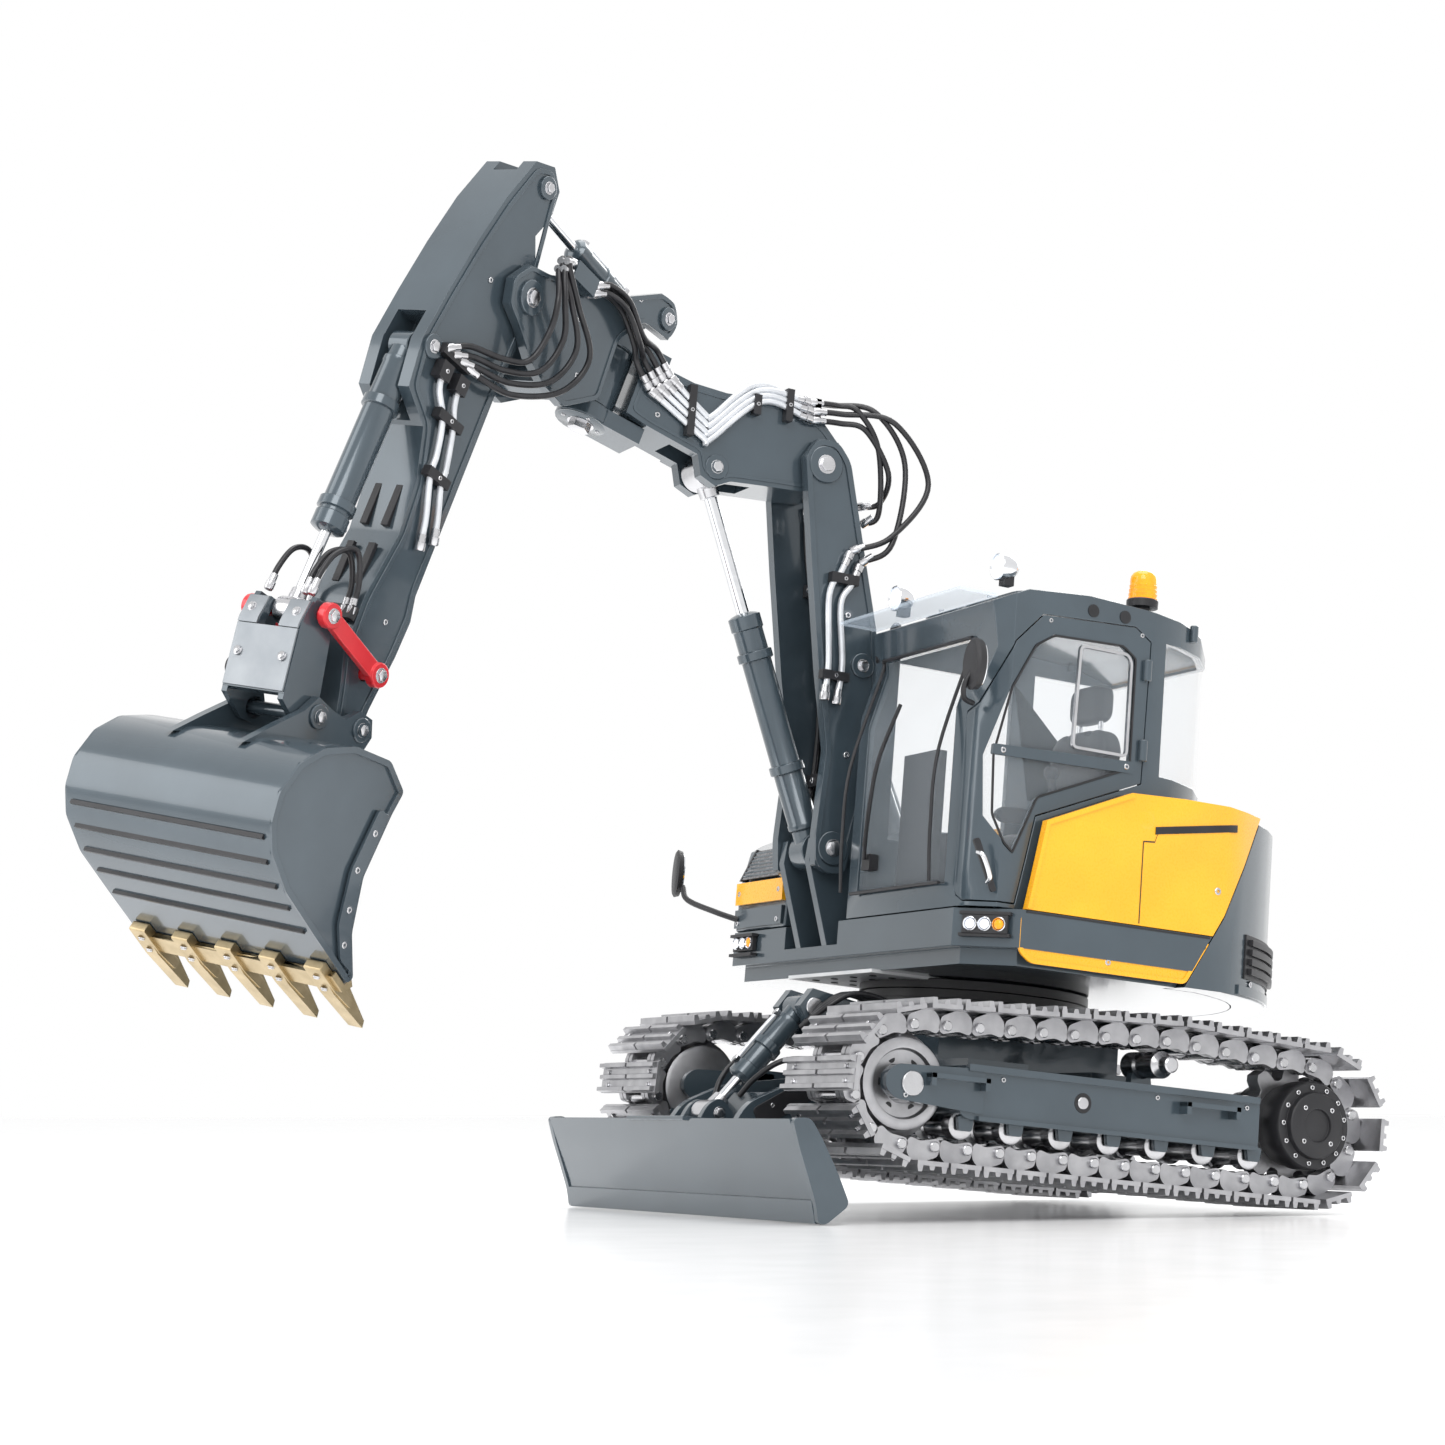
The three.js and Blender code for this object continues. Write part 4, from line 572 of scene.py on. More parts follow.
def ram(kind, base, eye, radius, rod, width, reach, foot, space=MACHINE, across=(0, 1, 0), bands=(0.5,), port=None):
    """A cylinder from base to eye: reach is the barrel's length, foot its eye's radius, width half its eyes' length."""
    base, eye, across = Vector(base), Vector(eye), Vector(across)
    way = (eye - base).normalized()
    outward = way.cross(across).normalized()
    spot = lambda distance: base + way * distance
    shape = Shape(PAINT, STEEL, PIPE)
    neck, top = foot * 0.9, reach - foot * 0.5
    shape.turned(spot(foot * 0.5), spot(reach), [
        (0, radius * 0.86), (foot * 0.8, radius * 0.86), (neck, radius), (neck + 2, radius),
        (neck + 2.4, radius * 0.95), (top - 7, radius * 0.95), (top - 6.6, radius * 1.04),
        (top - 1.4, radius * 1.04), (top - 0.6, radius * 0.8), (top, rod + 0.4)], 36)
    shape.bar(base - across * width, base + across * width, foot, 28)
    shape.use(1).bar(base - across * (width + 0.1), base + across * (width + 0.1), foot * 0.5, 20)
    for share in bands:
        shape.use(0).turned(spot(reach * share), spot(reach * share + 4), [
            (0, radius), (0.4, radius * 1.13), (3.6, radius * 1.13), (4, radius)], 36)
    if port:
        side = outward * port
        start, end = spot(reach * 0.22) + side * (radius + 0.8), spot(reach - 5) + side * (radius + 0.8)
        shape.use(2).tube([start - side * 1.2, start + way * 1.4, end - way * 1.4, end - side * 1.2], 0.9, 10, 8)
        for at in (start, end):
            shape.use(1).bar(at - side * 1.6, at + side * 1.1, 1.7, 6)
    node = f"{kind}_barrel"
    shape.finish(f"{node}_body", node, space, replaces=[node], slot="slate_paint", bevel=0.25)
    shaft = Shape(CHROME, STEEL)
    length = (eye - base).length
    shaft.turned(spot(reach - HIDDEN), spot(length - foot * 0.5), [
        (0, rod), (length - foot * 0.5 - reach + HIDDEN, rod)], 28)
    shaft.use(1).turned(spot(length - foot - 3.4), spot(length - foot * 0.4), [
        (0, rod * 1.1), (0.4, rod * 1.5), (foot * 0.6 + 2.6, rod * 1.7)], 24)
    shaft.bar(eye - across * width, eye + across * width, foot, 28)
    node = f"{kind}_rod"
    shaft.finish(f"{node}_shaft", node, space, replaces=[node], slot="rod_chrome", bevel=0.25)


ram("blade", (84, 0, 60), (119, 0, 17), 5, 2.2, 5.4, 38, 5, port=1)
ram("lift", (22, BOOM_Y, 104), (66, BOOM_Y, 196), 5.4, 2.4, 5.8, 62, 5.4, port=1)
ram("knee", (73, BOOM_Y, 123), (133.5, BOOM_Y, 264.5), 6.2, 2.6, 5.6, 97, 7, bands=(0.33, 0.8))
offset_eye = Matrix.Rotation(SWUNG, 4, "Z") @ Vector((5, -24.5, 20))
ram("offset", (-50, -22, 20), offset_eye, 4.4, 1.8, 4.2, 38, 4.2, HINGE_SPACE, (0, 0, 1))
ram("stick", (-6, 0, 50.5), (77, 0, 55), 4.6, 1.9, 4.8, 46, 4.6, HEAD, port=1)
ram("bucket", (100, 0, -26), (102, 0, -133), 6, 1.9, 4.6, 76, 5, HEAD, bands=(0.3, 0.84), port=-1)


# ---------------------------------------------------------------- house
def inward(points, distance):
    """A closed outline drawn in by a distance."""
    area = sum(a[0] * b[1] - b[0] * a[1] for a, b in zip(points, points[1:] + points[:1]))
    turn = 1 if area > 0 else -1
    out = []
    for i, point in enumerate(points):
        here = Vector(point)
        back = (here - Vector(points[i - 1])).normalized()
        on = (Vector(points[(i + 1) % len(points)]) - here).normalized()
        a, b = Vector((-back.y, back.x)) * turn, Vector((-on.y, on.x)) * turn
        out.append(tuple(here + (a + b) * (distance / max(0.35, 1 + a.dot(b)))))
    return out


def rim(shape, outline, width, y0, y1):
    """A raised band along the edge of a plate."""
    inner = inward(outline, width)
    return shape.loops([[(x, y, z) for x, z in line] for line, y in
                        ((outline, y0), (outline, y1), (inner, y1), (inner, y0))], closed_ring=True)


def arc_slab(shape, low, high, start, stop, z0, z1, count=20):
    """A curved slab round the slew axis, between two radii and two angles."""
    turns = [math.radians(start + (stop - start) * i / (count - 1)) for i in range(count)]
    ring = [(SLEW_X + r * math.cos(a), r * math.sin(a)) for r, run in ((high, turns), (low, turns[::-1])) for a in run]
    return shape.slab(ring, z0, z1)


trim = Shape(YELLOW, BLACK, STEEL, PLASTIC)
for side in (1, -1):
    skirt = [(-28, 93.2), (-17.8, 76.4), (49, 76.4), (54, 80), (54, 93.2)]
    trim.use(0).plate(rounded(skirt, 2), side * 103.0, side * 103.6)
    rim(trim, rounded(skirt, 2), 1.6, side * 103.4, side * 104.0)
    screws(trim.use(2), side, side * 103.6, ((-16, 85), (16, 80.5), (46, 85)), 1.2, 0.3)


WALL, ROUND = 104.0, 112  # half width of the house, and its radius behind


def on_side(x):
    """How far out the house wall stands at x."""
    return WALL if x > -33.6 else math.sqrt(ROUND ** 2 - (x - SLEW_X) ** 2)


def strip(shape, points, width, proud=0.3, side=1):
    """A narrow band along the side wall, from points (x, z)."""
    rings = []
    for a, b in zip(points, points[1:]):
        rings += [lerp(a, b, i / 8) for i in range(8)]
    rings.append(points[-1])
    return shape.loops([[(x, side * (on_side(x) + out), z + up) for out, up in (
        (-0.6, -width / 2), (proud, -width / 2), (proud, width / 2), (-0.6, width / 2))] for x, z in rings])


strip(trim.use(1), [(-1, 130.6), (-39, 136.6)], 2.7)
for side in (1, -1):
    strip(trim.use(1), [(4, 96), (4.01, 126)], 0.1, 0.08, side)
    trim.plate([(3.8, 96), (4.2, 96), (4.2, 126), (3.8, 126)], side * 103.5, side * 104.12)
    strip(trim, [(4, 126), (-1, 126.4), (-2, 129.4)], 0.5, 0.1, side)
    strip(trim, [(52, 94.4), (-27.6, 94.4)], 0.7, 0.25, side)
trim.use(0).turned((3, 103.4, 134), (3, 106, 134), [(0, 3.6), (0.6, 3.5), (0.8, 2.8), (0.95, 1.6), (1.0, 0.4)], 32)
trim.use(2).cap_screw((-30, 103.9, 112), (0, 1, 0), 1.4, 0.5)
for x, z in ((0, 90), (-24, 91)):
    trim.use(3).plate([(x + 2.2 * a, z + 1.6 * b) for a, b in around(24, 1)], 103.4, WALL)
edge = [(52, 95.6), (49, 111), (46, 128), (10, 143), (9, 141.4), (44.6, 126.6), (47.4, 110.8), (50.4, 95.6)]
trim.use(0).plate(edge, 103.8, 104.7)
for y in (-60, -30, 0, 30, 60):
    trim.use(1).slab(rounded([(-46, y - 9), (-24, y - 9), (-24, y + 9), (-46, y + 9)], 2), 143.9, 144.15)
    for k in range(5):
        trim.use(0).box(-44.5 + 4.2 * k, -42.3 + 4.2 * k, y - 7.4, y + 7.4, 143.9, 144.9)
trim.finish("cover_trim", "house", slot="yellow_paint", bevel=0.2)

rear = Shape(PAINT, BLACK, STEEL)
for low in (84, 87.6, 91.2, 94.8):
    arc_slab(rear.use(1), 111.4, 114.2, 122, 148, low, low + 2.4)
    arc_slab(rear, 111.4, 114.2, -148, -122, low, low + 2.4)
arc_slab(rear, 111.4, 112.6, 120.6, 149.4, 82.4, 98.8)
arc_slab(rear, 111.4, 112.6, -149.4, -120.6, 82.4, 98.8)
arc_slab(rear.use(0), 111.5, 112.7, 152, 208, 100, 132)
arc_slab(rear.use(1), 111.8, 112.9, 158, 202, 104, 128)
for k in range(6):
    arc_slab(rear.use(0), 112.2, 114, 159, 201, 105.6 + 3.8 * k, 107.4 + 3.8 * k)
arc_slab(rear.use(0), 111.4, 112.8, 118, 242, 76, 79.6, 40)
for a in (124, 146, 154, 206, -146, -124):
    x, y = math.cos(math.radians(a)), math.sin(math.radians(a))
    rear.use(2).cap_screw((SLEW_X + 112.2 * x, 112.2 * y, 80.8), (x, y, 0), 1.3, 0.5)
rear.finish("counterweight_trim", "house", slot="slate_paint", bevel=0.2)

front = Shape(PAINT, YELLOW, MESH, STEEL, WHITE, BLACK, PLASTIC)
front.use(1).box(69.6, 71.4, -87, -46.5, 106, 115)
front.use(0).box(69.6, 71.2, -87, -46.5, 96.5, 104)
front.use(2).loops([[(69.4, y, 116.5), (70.6, y, 116.5), (64.4, y, 129.2), (63.2, y, 128.8)] for y in (-84.5, -49)])
for y0, y1 in ((-86, -84.6), (-48.9, -47.5)):
    rim(front.use(5), [(68.2, 116), (71, 116), (64.4, 130), (61.6, 129.4)], 0.8, y0, y1)
for k in range(7):
    z = 117.6 + 1.7 * k
    front.use(0).box(70.2 - (z - 116) * 0.5, 71 - (z - 116) * 0.5, -84.6, -48.9, z, z + 0.7)
front.use(3)
for y in (-84, -50):
    for z in (98.5, 110.5):
        front.cap_screw((71.3, y, z), (1, 0, 0), 1.1, 0.4)
front.use(4).box(12, 69, -40, 26, 74.2, 75.6)
for k in range(6):
    for j in range(4):
        front.use(5).bar((20 + 8.4 * k, -30 + 15 * j, 73.9), (20 + 8.4 * k, -30 + 15 * j, 74.3), 1.5, 14)
front.use(6).slab(rounded([(20, -92), (50, -92), (50, -60), (20, -60)], 3), 139.4, 143)
for base_x, base_y, way, out in ((62, 94, (0.78, 0.625, 0), 2.2), (70, -76, (1, 0, 0), 2.9)):
    normal = Vector(way)
    run = Vector((normal.y, -normal.x, 0))
    centre = Vector((base_x, base_y, 0)) + normal * out
    front.use(6)
    corner = [centre + run * a + normal * b for a, b in ((-9.6, -2.6), (9.6, -2.6), (9.6, 0.3), (-9.6, 0.3))]
    front.slab([(p.x, p.y) for p in corner], 84.6, 85.8)
    front.slab([(p.x, p.y) for p in corner], 92.4, 93.6)
front.finish("front_trim", "house", slot="slate_paint", bevel=0.15)

for word, at, way in (("left", (63.9, 95.9, 89), (0.78, 0.625, 0)), ("right", (71.6, -76, 90), (1, 0, 0))):
    normal = Vector(way).normalized()
    run = Vector((normal.y, -normal.x, 0))
    lamp = Shape(LED, AMBER, PLASTIC, CHROME)
    for k, slot in ((-1, 1), (0, 0), (1, 0)):
        centre = Vector(at) + run * (5.4 * k)
        lamp.use(3).turned(centre - normal * 1.1, centre + normal * 2, [
            (0, 2.5), (2.0, 2.6), (2.3, 2.3), (1.4, 1.9)], 24)
        lamp.use(slot).turned(centre - normal * 0.8, centre + normal * 2, [
            (0, 1.8), (1.4, 1.8), (2.0, 1.3), (2.25, 0.4)], 20)
    plate_points = [Vector(at) + run * a + normal * b for a, b in ((-8.5, -1.2), (8.5, -1.2), (8.5, 0.4), (-8.5, 0.4))]
    lamp.use(2).slab([(p.x, p.y) for p in plate_points], at[2] - 3.2, at[2] + 3.2)
    lamp.finish(f"deck_lights_{word}", "house", replaces=[f"deck_lamps_{word}"], slot="lamp_lens", bevel=0)
for word, y in (("left", 92), ("right", 18)):
    lamp = Shape(CHROME, LED, BLACK)
    lamp.use(2).box(60, 64, y - 2, y + 2, 213, 217.4)
    lamp.use(0).turned((58, y, 220.1), (67, y, 219.5), [
        (0, 1.2), (0.6, 2.6), (2.4, 4.0), (5, 4.8), (8.2, 5.0), (8.6, 4.7), (8.2, 4.3), (6.4, 3.8)], 32)
    lamp.use(1).turned((64, y, 219.7), (66.4, y, 219.5), [(0, 3.9), (1.8, 4.1), (2.6, 3.2), (3.0, 1.2)], 28)
    lamp.finish(f"roof_light_{word}", "house", replaces=[f"cab_lamp_{word}"], slot="rod_chrome", bevel=0)
light = Shape(AMBER, BLACK)
light.use(1).turned((-3, 84, 213.6), (-3, 84, 233), [(0, 3.2), (3.2, 3.2), (3.6, 5.9), (6.2, 6.0), (6.6, 5.7)], 32)
light.use(0).turned((-3, 84, 219.8), (-3, 84, 233), [
    (0, 5.4), (1, 5.5), (1.3, 5.2), (2.6, 5.4), (2.9, 5.1), (4.2, 5.3), (4.5, 5.0), (5.8, 5.2), (6.1, 4.9), (7.4, 5.0),
    (8.2, 5.0), (9.4, 4.8), (10.6, 4.0), (11.4, 2.6), (11.8, 0.8)], 36)
light.finish("beacon_light", "house", replaces=["beacon"], slot="amber_lens", bevel=0)

cab = Shape(PAINT, BLACK, STEEL, PLASTIC, CHROME)
cab.use(1)
for y in (13, 78):
    cab.tube([(77.6, y, 104), (78.6, y, 124), (77.4, y, 152), (66.6, y, 190), (66.4, y, 195)], 0.7, 8)
cab.tube([(66.4, 13, 195.3), (66.4, 78, 195.3)], 0.7, 8, 1)
cab.tube([(73.4, 13, 104), (73.4, 78, 104)], 0.7, 8, 1)
cab.tube([(75.8, 26, 116), (78.8, 32, 130), (78.4, 36, 152), (72.8, 40, 174)], 0.8, 8)
cab.box(71, 75, 23, 29, 112, 118)
cab.tube([(79.2, 31, 120), (79.4, 34, 140), (77.2, 38, 160)], 0.5, 6)
cab.use(0).slab(rounded([(-18, 14), (52, 14), (52, 86), (-18, 86)], 6), 213.2, 214.6)
for y in (30, 50, 70):
    cab.use(0).slab(rounded([(-10, y - 6), (40, y - 6), (40, y + 6), (-10, y + 6)], 3), 214.2, 215.4)
for x, z in ((28, 209), (14, 209)):
    cab.use(1).turned((x, 97.2, z - 0.4), (x, 99, z - 0.4), [(0, 2.4), (1.6, 2.4), (1.7, 2.0)], 20)
cab.use(1).tube([(72.4, 91.6, 168), (77.4, 93.6, 169), (79.4, 96.4, 173), (77.6, 97.6, 178)], 1.0, 10)
cab.use(3).loops([oval(x, 97.8, 181, 6.0 * s, 9.6 * s)
                  for x, s in ((74.4, 0.7), (74.8, 0.95), (77.4, 1.0), (78.4, 0.86))])
cab.use(4).loops([oval(x, 97.8, 181, 5.0, 8.4) for x in (74.0, 74.6)])
cab.use(1).tube([(66, 8, 196), (64, 4.6, 200), (58, 3.4, 204)], 0.9, 8)
cab.use(3).loops([oval(55 + 0.6 * x, 3, 207, 4.6 * s, 6.6 * s)
                  for x, s in ((0, 0.8), (0.8, 1.0), (3.6, 1.0), (4.4, 0.86))])
cab.use(0)
for x, y in ((-22, 91.5), (-22, 8.6)):
    cab.bar((x, y, 206), (x, y, 212.4), 1.6, 14)
cab.use(2)
for y in (12, 46, 80):
    cab.cap_screw((61.4, y, 211.2), (0.4, 0, 1), 1.1, 0.5)
cab.finish("cab_trim", "house", slot="slate_paint", bevel=0.2)

leaf = Shape(PAINT, BLACK, STEEL, CHROME)
window = [(56, 115), (60, 118), (66, 128), (67, 150), (61, 175), (52, 192), (44, 197), (14, 198), (8, 194),
          (8, 152.5), (47, 136.5)]
rim(leaf.use(1), rounded(window, 1.4, 3), 0.7, 98.2, 98.9)
rim(leaf.use(2), rounded([(9.6, 156.6), (9.6, 192.6), (12, 195.4), (33, 195.4), (34, 156.6)], 2.5), 1.1, 97.6, 99.0)
leaf.use(0).plate(rounded([(7, 151), (67.4, 149.6), (67.2, 153.4), (7, 155.4)], 0.6), 97.6, 99.2)
screws(leaf.use(2), 1, 99.1, ((10, 153.2), (63, 151.6)), 1.1, 0.4)
leaf.use(1).plate(rounded([(64, 100), (73, 118), (70.6, 119), (62, 101)], 1.4), 98.3, 99.4)
leaf.use(3).tube([(65.6, 98.6, 103.6), (66.6, 101.6, 105.4), (69.8, 101.6, 112.2), (70.4, 98.6, 113.8)], 0.9, 10)
for z in (160, 190):
    leaf.use(0).bar((3.4, 99.2, z - 4), (3.4, 99.2, z + 4), 1.8, 16)
screws(leaf.use(2), 1, 98.4, ((6, 203), (46, 202)), 0.9, 0.4)
leaf.finish("door_trim", "door", slot="slate_paint", bevel=0.15)

mirror = Shape(BLACK, PLASTIC, CHROME)
mirror.use(0).tube([(70.9, -84, 100), (78, -92, 103), (84, -106, 108), (84, -112, 114)], 1.2, 12)
middle = Vector((82, -118, 120))
face = Vector((3, -1, 0)).normalized()
side = Vector((0, 0, 1)).cross(face)
for slot, profile in ((1, ((0.1, 0.7), (0.5, 0.94), (2.4, 1.0), (3.1, 0.9))), (2, ((-0.3, 0.84), (0.2, 0.86)))):
    mirror.use(slot).loops([[middle + face * along + side * 9 * s * a + Vector((0, 0, 10 * s * b))
                             for a, b in around(32, 1)] for along, s in profile])
mirror.finish("hood_mirror", "mirror", replaces=["mirror_right"], slot="black_plastic", bevel=0)


def pad(name, low, high, power, seams=()):
    """A stuffed pad: a squared ellipsoid with sewn channels drawn in across it."""
    low, high = Vector(low), Vector(high)
    middle, half = (low + high) / 2, (high - low) / 2
    made = Shape(LEATHER)
    curve = lambda v: math.copysign(abs(v) ** power, v)
    rings = []
    for i in range(1, 24):
        b = -math.pi / 2 + math.pi * i / 24
        ring = []
        for k in range(48):
            a = 2 * math.pi * k / 48
            level = curve(math.cos(b))
            spot = Vector((level * curve(math.cos(a)), level * curve(math.sin(a)), curve(math.sin(b)))) * half
            groove = min([abs(spot[axis] - where) for axis, where in seams] or [99])
            shrink = 1 - 0.1 * math.exp(-(groove / 0.9) ** 2)
            ring.append(middle + spot * shrink)
        rings.append(ring)
    made.loops(rings)
    return made.finish(name, "house", slot="seat_leather", bevel=0, smooth=70)


cushion = pad("seat_cushion", (-2, 34, 118.4), (34, 76, 129.5), 0.42, seams=((1, -8), (1, 8), (0, 11)))
backrest = pad("seat_backrest", (-6.4, 35.6, 127), (4.6, 74.4, 172.5), 0.42, seams=((1, -8), (1, 8), (2, -8), (2, 10)))
headrest = pad("seat_headrest", (-6.2, 43.6, 176), (1.4, 66.4, 190.5), 0.5)
seat_base = Shape(PLASTIC, CHROME)
seat_base.slab(rounded([(4, 40), (28, 40), (28, 70), (4, 70)], 4), 102, 112)
seat_base.slab(rounded([(0, 37), (31, 37), (31, 73), (0, 73)], 4), 113, 119.4)
for k in range(4):
    seat_base.slab(rounded([(6, 42), (26, 42), (26, 68), (6, 68)], 3), 111 + 0.6 * k, 111.4 + 0.6 * k)
for y in (48, 62):
    seat_base.use(1).bar((-2.4, y, 168), (-2.4, y, 180), 1, 14)
for y in (33.6, 76.4):
    outline = rounded([(0, 138), (22, 137), (25, 140), (22, 143), (0, 144)], 2)
    half = 1.2 if y > 50 else -1.2
    seat_base.use(0).plate(outline, y - half, y + half)
seat_base.finish("seat_frame", "house", replaces=["seat"], slot="seat_leather", bevel=0.4)

# ---------------------------------------------------------------- booms
near, far = BOOM_Y + 17.2, BOOM_Y - 17.2
fork = [(67, 114), (61, 145), (57, 178), (61, 211), (70, 245), (78, 276), (84, 283), (93, 283), (98, 275),
        (92, 234), (85, 191), (79, 161), (81, 128), (80, 116), (74, 113)]
boom = Shape(PAINT, STEEL)
for y, side in ((near, 1), (far, -1)):
    rim(boom.use(0), rounded(fork, 3), 2.4, y - side * 0.4, y + side * 0.7)
    bosses(boom, side, y, ((73, 123, 6.6), (89, 273, 7.4), (66, 196, 5)), 1.2, 1.1, 0.42, 1.4, 36)
    screws(boom, side, y + side * 0.1, ((74, 215), (70, 160)), 1.3, 0.6)
for x, z in ((78.8, 228.5), (70.6, 152.5)):
    for y in (BOOM_Y - 8, BOOM_Y + 8):
        boom.use(1).cap_screw((x, y, z), (1, 0, 0), 1.4, 0.5)
boom.finish("lower_boom_trim", "lower_boom", slot="slate_paint", bevel=0.2)

top = Shape(PAINT, STEEL)
arm = [(79, 274), (80, 280.4), (89, 289.4), (101.5, 294.8), (131.7, 293), (146, 294), (165.8, 299), (171.5, 280),
       (163.5, 276.4), (141, 269.6), (139, 262), (133.5, 259), (127.4, 261.8), (108, 263), (95, 263.6), (86, 264.6)]
for side in (1, -1):
    y = BOOM_Y + side * 11.8
    rim(top.use(0), rounded(arm, 2.4), 1.4, y - side * 0.4, y + side * 0.35)
    disc(top.use(0), 133.5, 264.5, y, side, 5, 0.7, 32)
    top.use(1).hex_bolt((133.5, y + side * 0.6, 264.5), (0, side, 0), 2.2, 1.2)
    screws(top, side, y, ((164, 288), (160.5, 280)), 1.2, 0.5)
pin_way = Vector((-math.sin(LEAN), 0, math.cos(LEAN)))
pin_foot = Vector(HINGE)
out = pin_way.orthogonal().normalized()
for low, high in ((-0.2, 6.7), (31.3, 38.2)):
    top.use(0).turned(pin_foot + pin_way * low, pin_foot + pin_way * high, [
        (0, 9.6), (0.7, 10.7), (high - low - 0.7, 10.7), (high - low, 9.6)], 48)
for end, way in ((-0.2, -1), (38.2, 1)):
    at = pin_foot + pin_way * end
    top.use(1).hex_bolt(at, pin_way * way, 4.4, 3.0)
    for k in range(4):
        spot = at + (Matrix.Rotation(math.pi / 4 + math.pi * k / 2, 3, pin_way) @ out) * 7.6
        top.cap_screw(spot, pin_way * way, 0.9, 0.4)
top.finish("upper_boom_trim", "upper_boom", slot="slate_paint", bevel=0.2)

swing = Shape(PAINT, STEEL)
cheek = [(14, 3), (16, 28), (6, 42), (-11, 44), (-13, 52), (-7, 58), (2, 57), (22, 43), (48, 37), (62, 27),
         (74, 24), (80, 15), (77, 6), (68, 2), (57, -5), (45, -9), (31, -10)]
for side in (1, -1):
    rim(swing.use(0), rounded(cheek, 3), 1.8, side * 16.2, side * 17.1)
    bosses(swing, side, side * 16.5, ((68, 14, 6.6), (-6, 50.5, 4.6)), 1.3, 1.2, 0.45, 1.3)
    screws(swing, side, side * 16.4, ((30, 4), (40, 22), (12, 48)), 1.1, 0.5)
swing.finish("head_trim", "offset_head", HEAD, slot="slate_paint", bevel=0.2)

dipper = Shape(PAINT, STEEL, BLACK)
long_side = [(61.8, 3), (63, -23), (62.2, -105), (60, -114), (60.4, -128), (62.6, -150), (62.8, -160), (67, -165),
             (71, -164), (73.4, -158), (76.4, -149.6), (81.2, -137.6), (82, -117), (78, -90), (80, -70), (87.6, -50.4),
             (101, -42.6), (104, -26), (101, -5), (97, 17.5), (92, 39), (85.4, 58.4), (77.4, 62), (71.6, 57)]
for side in (1, -1):
    rim(dipper.use(0), rounded(long_side, 3), 1.8, side * 11.7, side * 12.6)
    bosses(dipper, side, side * 12, ((77, 55, 4.4), (100, -26, 4.6)), 1.3, 1.2, 0.45, 1.2)
    screws(dipper, side, side * 12.2, ((72, -20), (70, -60), (70, -120), (86, 10)), 1.1, 0.5)
for x0, x1, low, high in ((79.8, 81.9, -88, -72), (82, 83.7, -112, -96)):
    for y in (-5, 5):
        dipper.use(2).box(x0, x1, y - 1.6, y + 1.6, low, high)
dipper.finish("stick_trim", "stick", HEAD, slot="slate_paint", bevel=0.2)

links = Shape(RED, STEEL)
for side in (1, -1):
    bosses(links, side, side * 19.4, ((70, -140, 4.4), (102, -133, 4.4)), 0.6, 0.6, 0.5, 1.2)
links.finish("link_bolts", "link_bars", HEAD, slot="red_paint", bevel=0.15)
plate_bolts = Shape(STEEL, BLACK, GREY_PLATE)
lower_face = [(109.2, -142.2), (109.9, -142.2), (105.4, -163.6), (104.6, -163.6)]
upper_face = [(109.4, -142), (110.1, -142), (110.3, -140), (109.3, -131.4), (108.5, -131.4), (109.4, -140)]
plate_bolts.use(2).plate(lower_face, -14.2, 14.2)
for y0, y1 in ((-14.2, -5.2), (5.2, 14.2)):
    plate_bolts.plate(upper_face, y0, y1)
for y in (-10.5, 10.5):
    for x, z in ((109.6, -136), (107.9, -152)):
        plate_bolts.use(0).hex_bolt((x, y, z), (1, 0, 0.12), 1.5, 1.0)
plate_bolts.use(1).turned((102, -16.2, -156), (102, -14.4, -156), [(0, 3.6), (0.5, 4.2), (1.6, 4.2)], 24)
plate_bolts.finish("yoke_bolts", "link_yoke", HEAD, slot="slate_paint", bevel=0.1)

scoop = Shape(PAINT, STEEL, BLACK)
back_line = [(80, -173.6), (98, -176.5), (111, -183), (119, -192), (122.7, -204), (121, -214), (115.6, -222.5),
             (103, -231), (84, -238), (60, -246.5)]
cutter = [(60, -243), (69.4, -230), (73.6, -212.7), (71.6, -190), (77, -190), (79, -213), (75, -231), (68, -241)]
side_plate = [*back_line, (58, -244), (66.7, -231), (71.6, -212.7), (70, -189), (68.5, -180)]
for side in (1, -1):
    rim(scoop.use(0), rounded(side_plate, 1.6), 2.2, side * 47.8, side * 49.0)
    scoop.use(0).plate(rounded(cutter, 1.5), side * 48.6, side * 49.8)
    screws(scoop.use(1), side, side * 49.6, ((75, -198), (76.4, -212), (73, -225), (69, -236)), 1.2, 0.5)
    bosses(scoop, side, side * 18.4, ((67.5, -160, 4.4), (89, -165, 4.4)), 0.9, 0.8, 2.1 / 4.4, 1.2, 28)
# Black bars across the bucket's back where it has grooves: painted shade of the grooves, drawn as black strips instead
# of cut in.
for x, z in ((118.4, -218.6), (112.4, -224.9), (104.4, -230.3), (95.2, -234.1), (84.6, -238.0)):
    scoop.use(2).box(x - 0.75, x + 0.75, -45.5, 45.5, z - 0.75, z + 0.75)
scoop.finish("bucket_trim", "bucket", HEAD, slot="slate_paint", bevel=0.15)
studs = Shape(BRASS, STEEL)
adapter = [(70.4, -243), (60, -246.6), (50, -249.5), (50.4, -252.6), (60, -250.6), (71.4, -246.6)]
for y in (-42, -21, 0, 21, 42):
    studs.use(0).plate(rounded(adapter, 0.8), y - 3.9, y + 3.9)
    for x, z in ((67.4, -247.9), (61.8, -250)):
        studs.use(1).hex_bolt((x, y, z), (-0.32, 0, -0.95), 1.2, 0.8)
studs.finish("tooth_bolts", "bucket", HEAD, slot="tooth_brass", bevel=0.2)


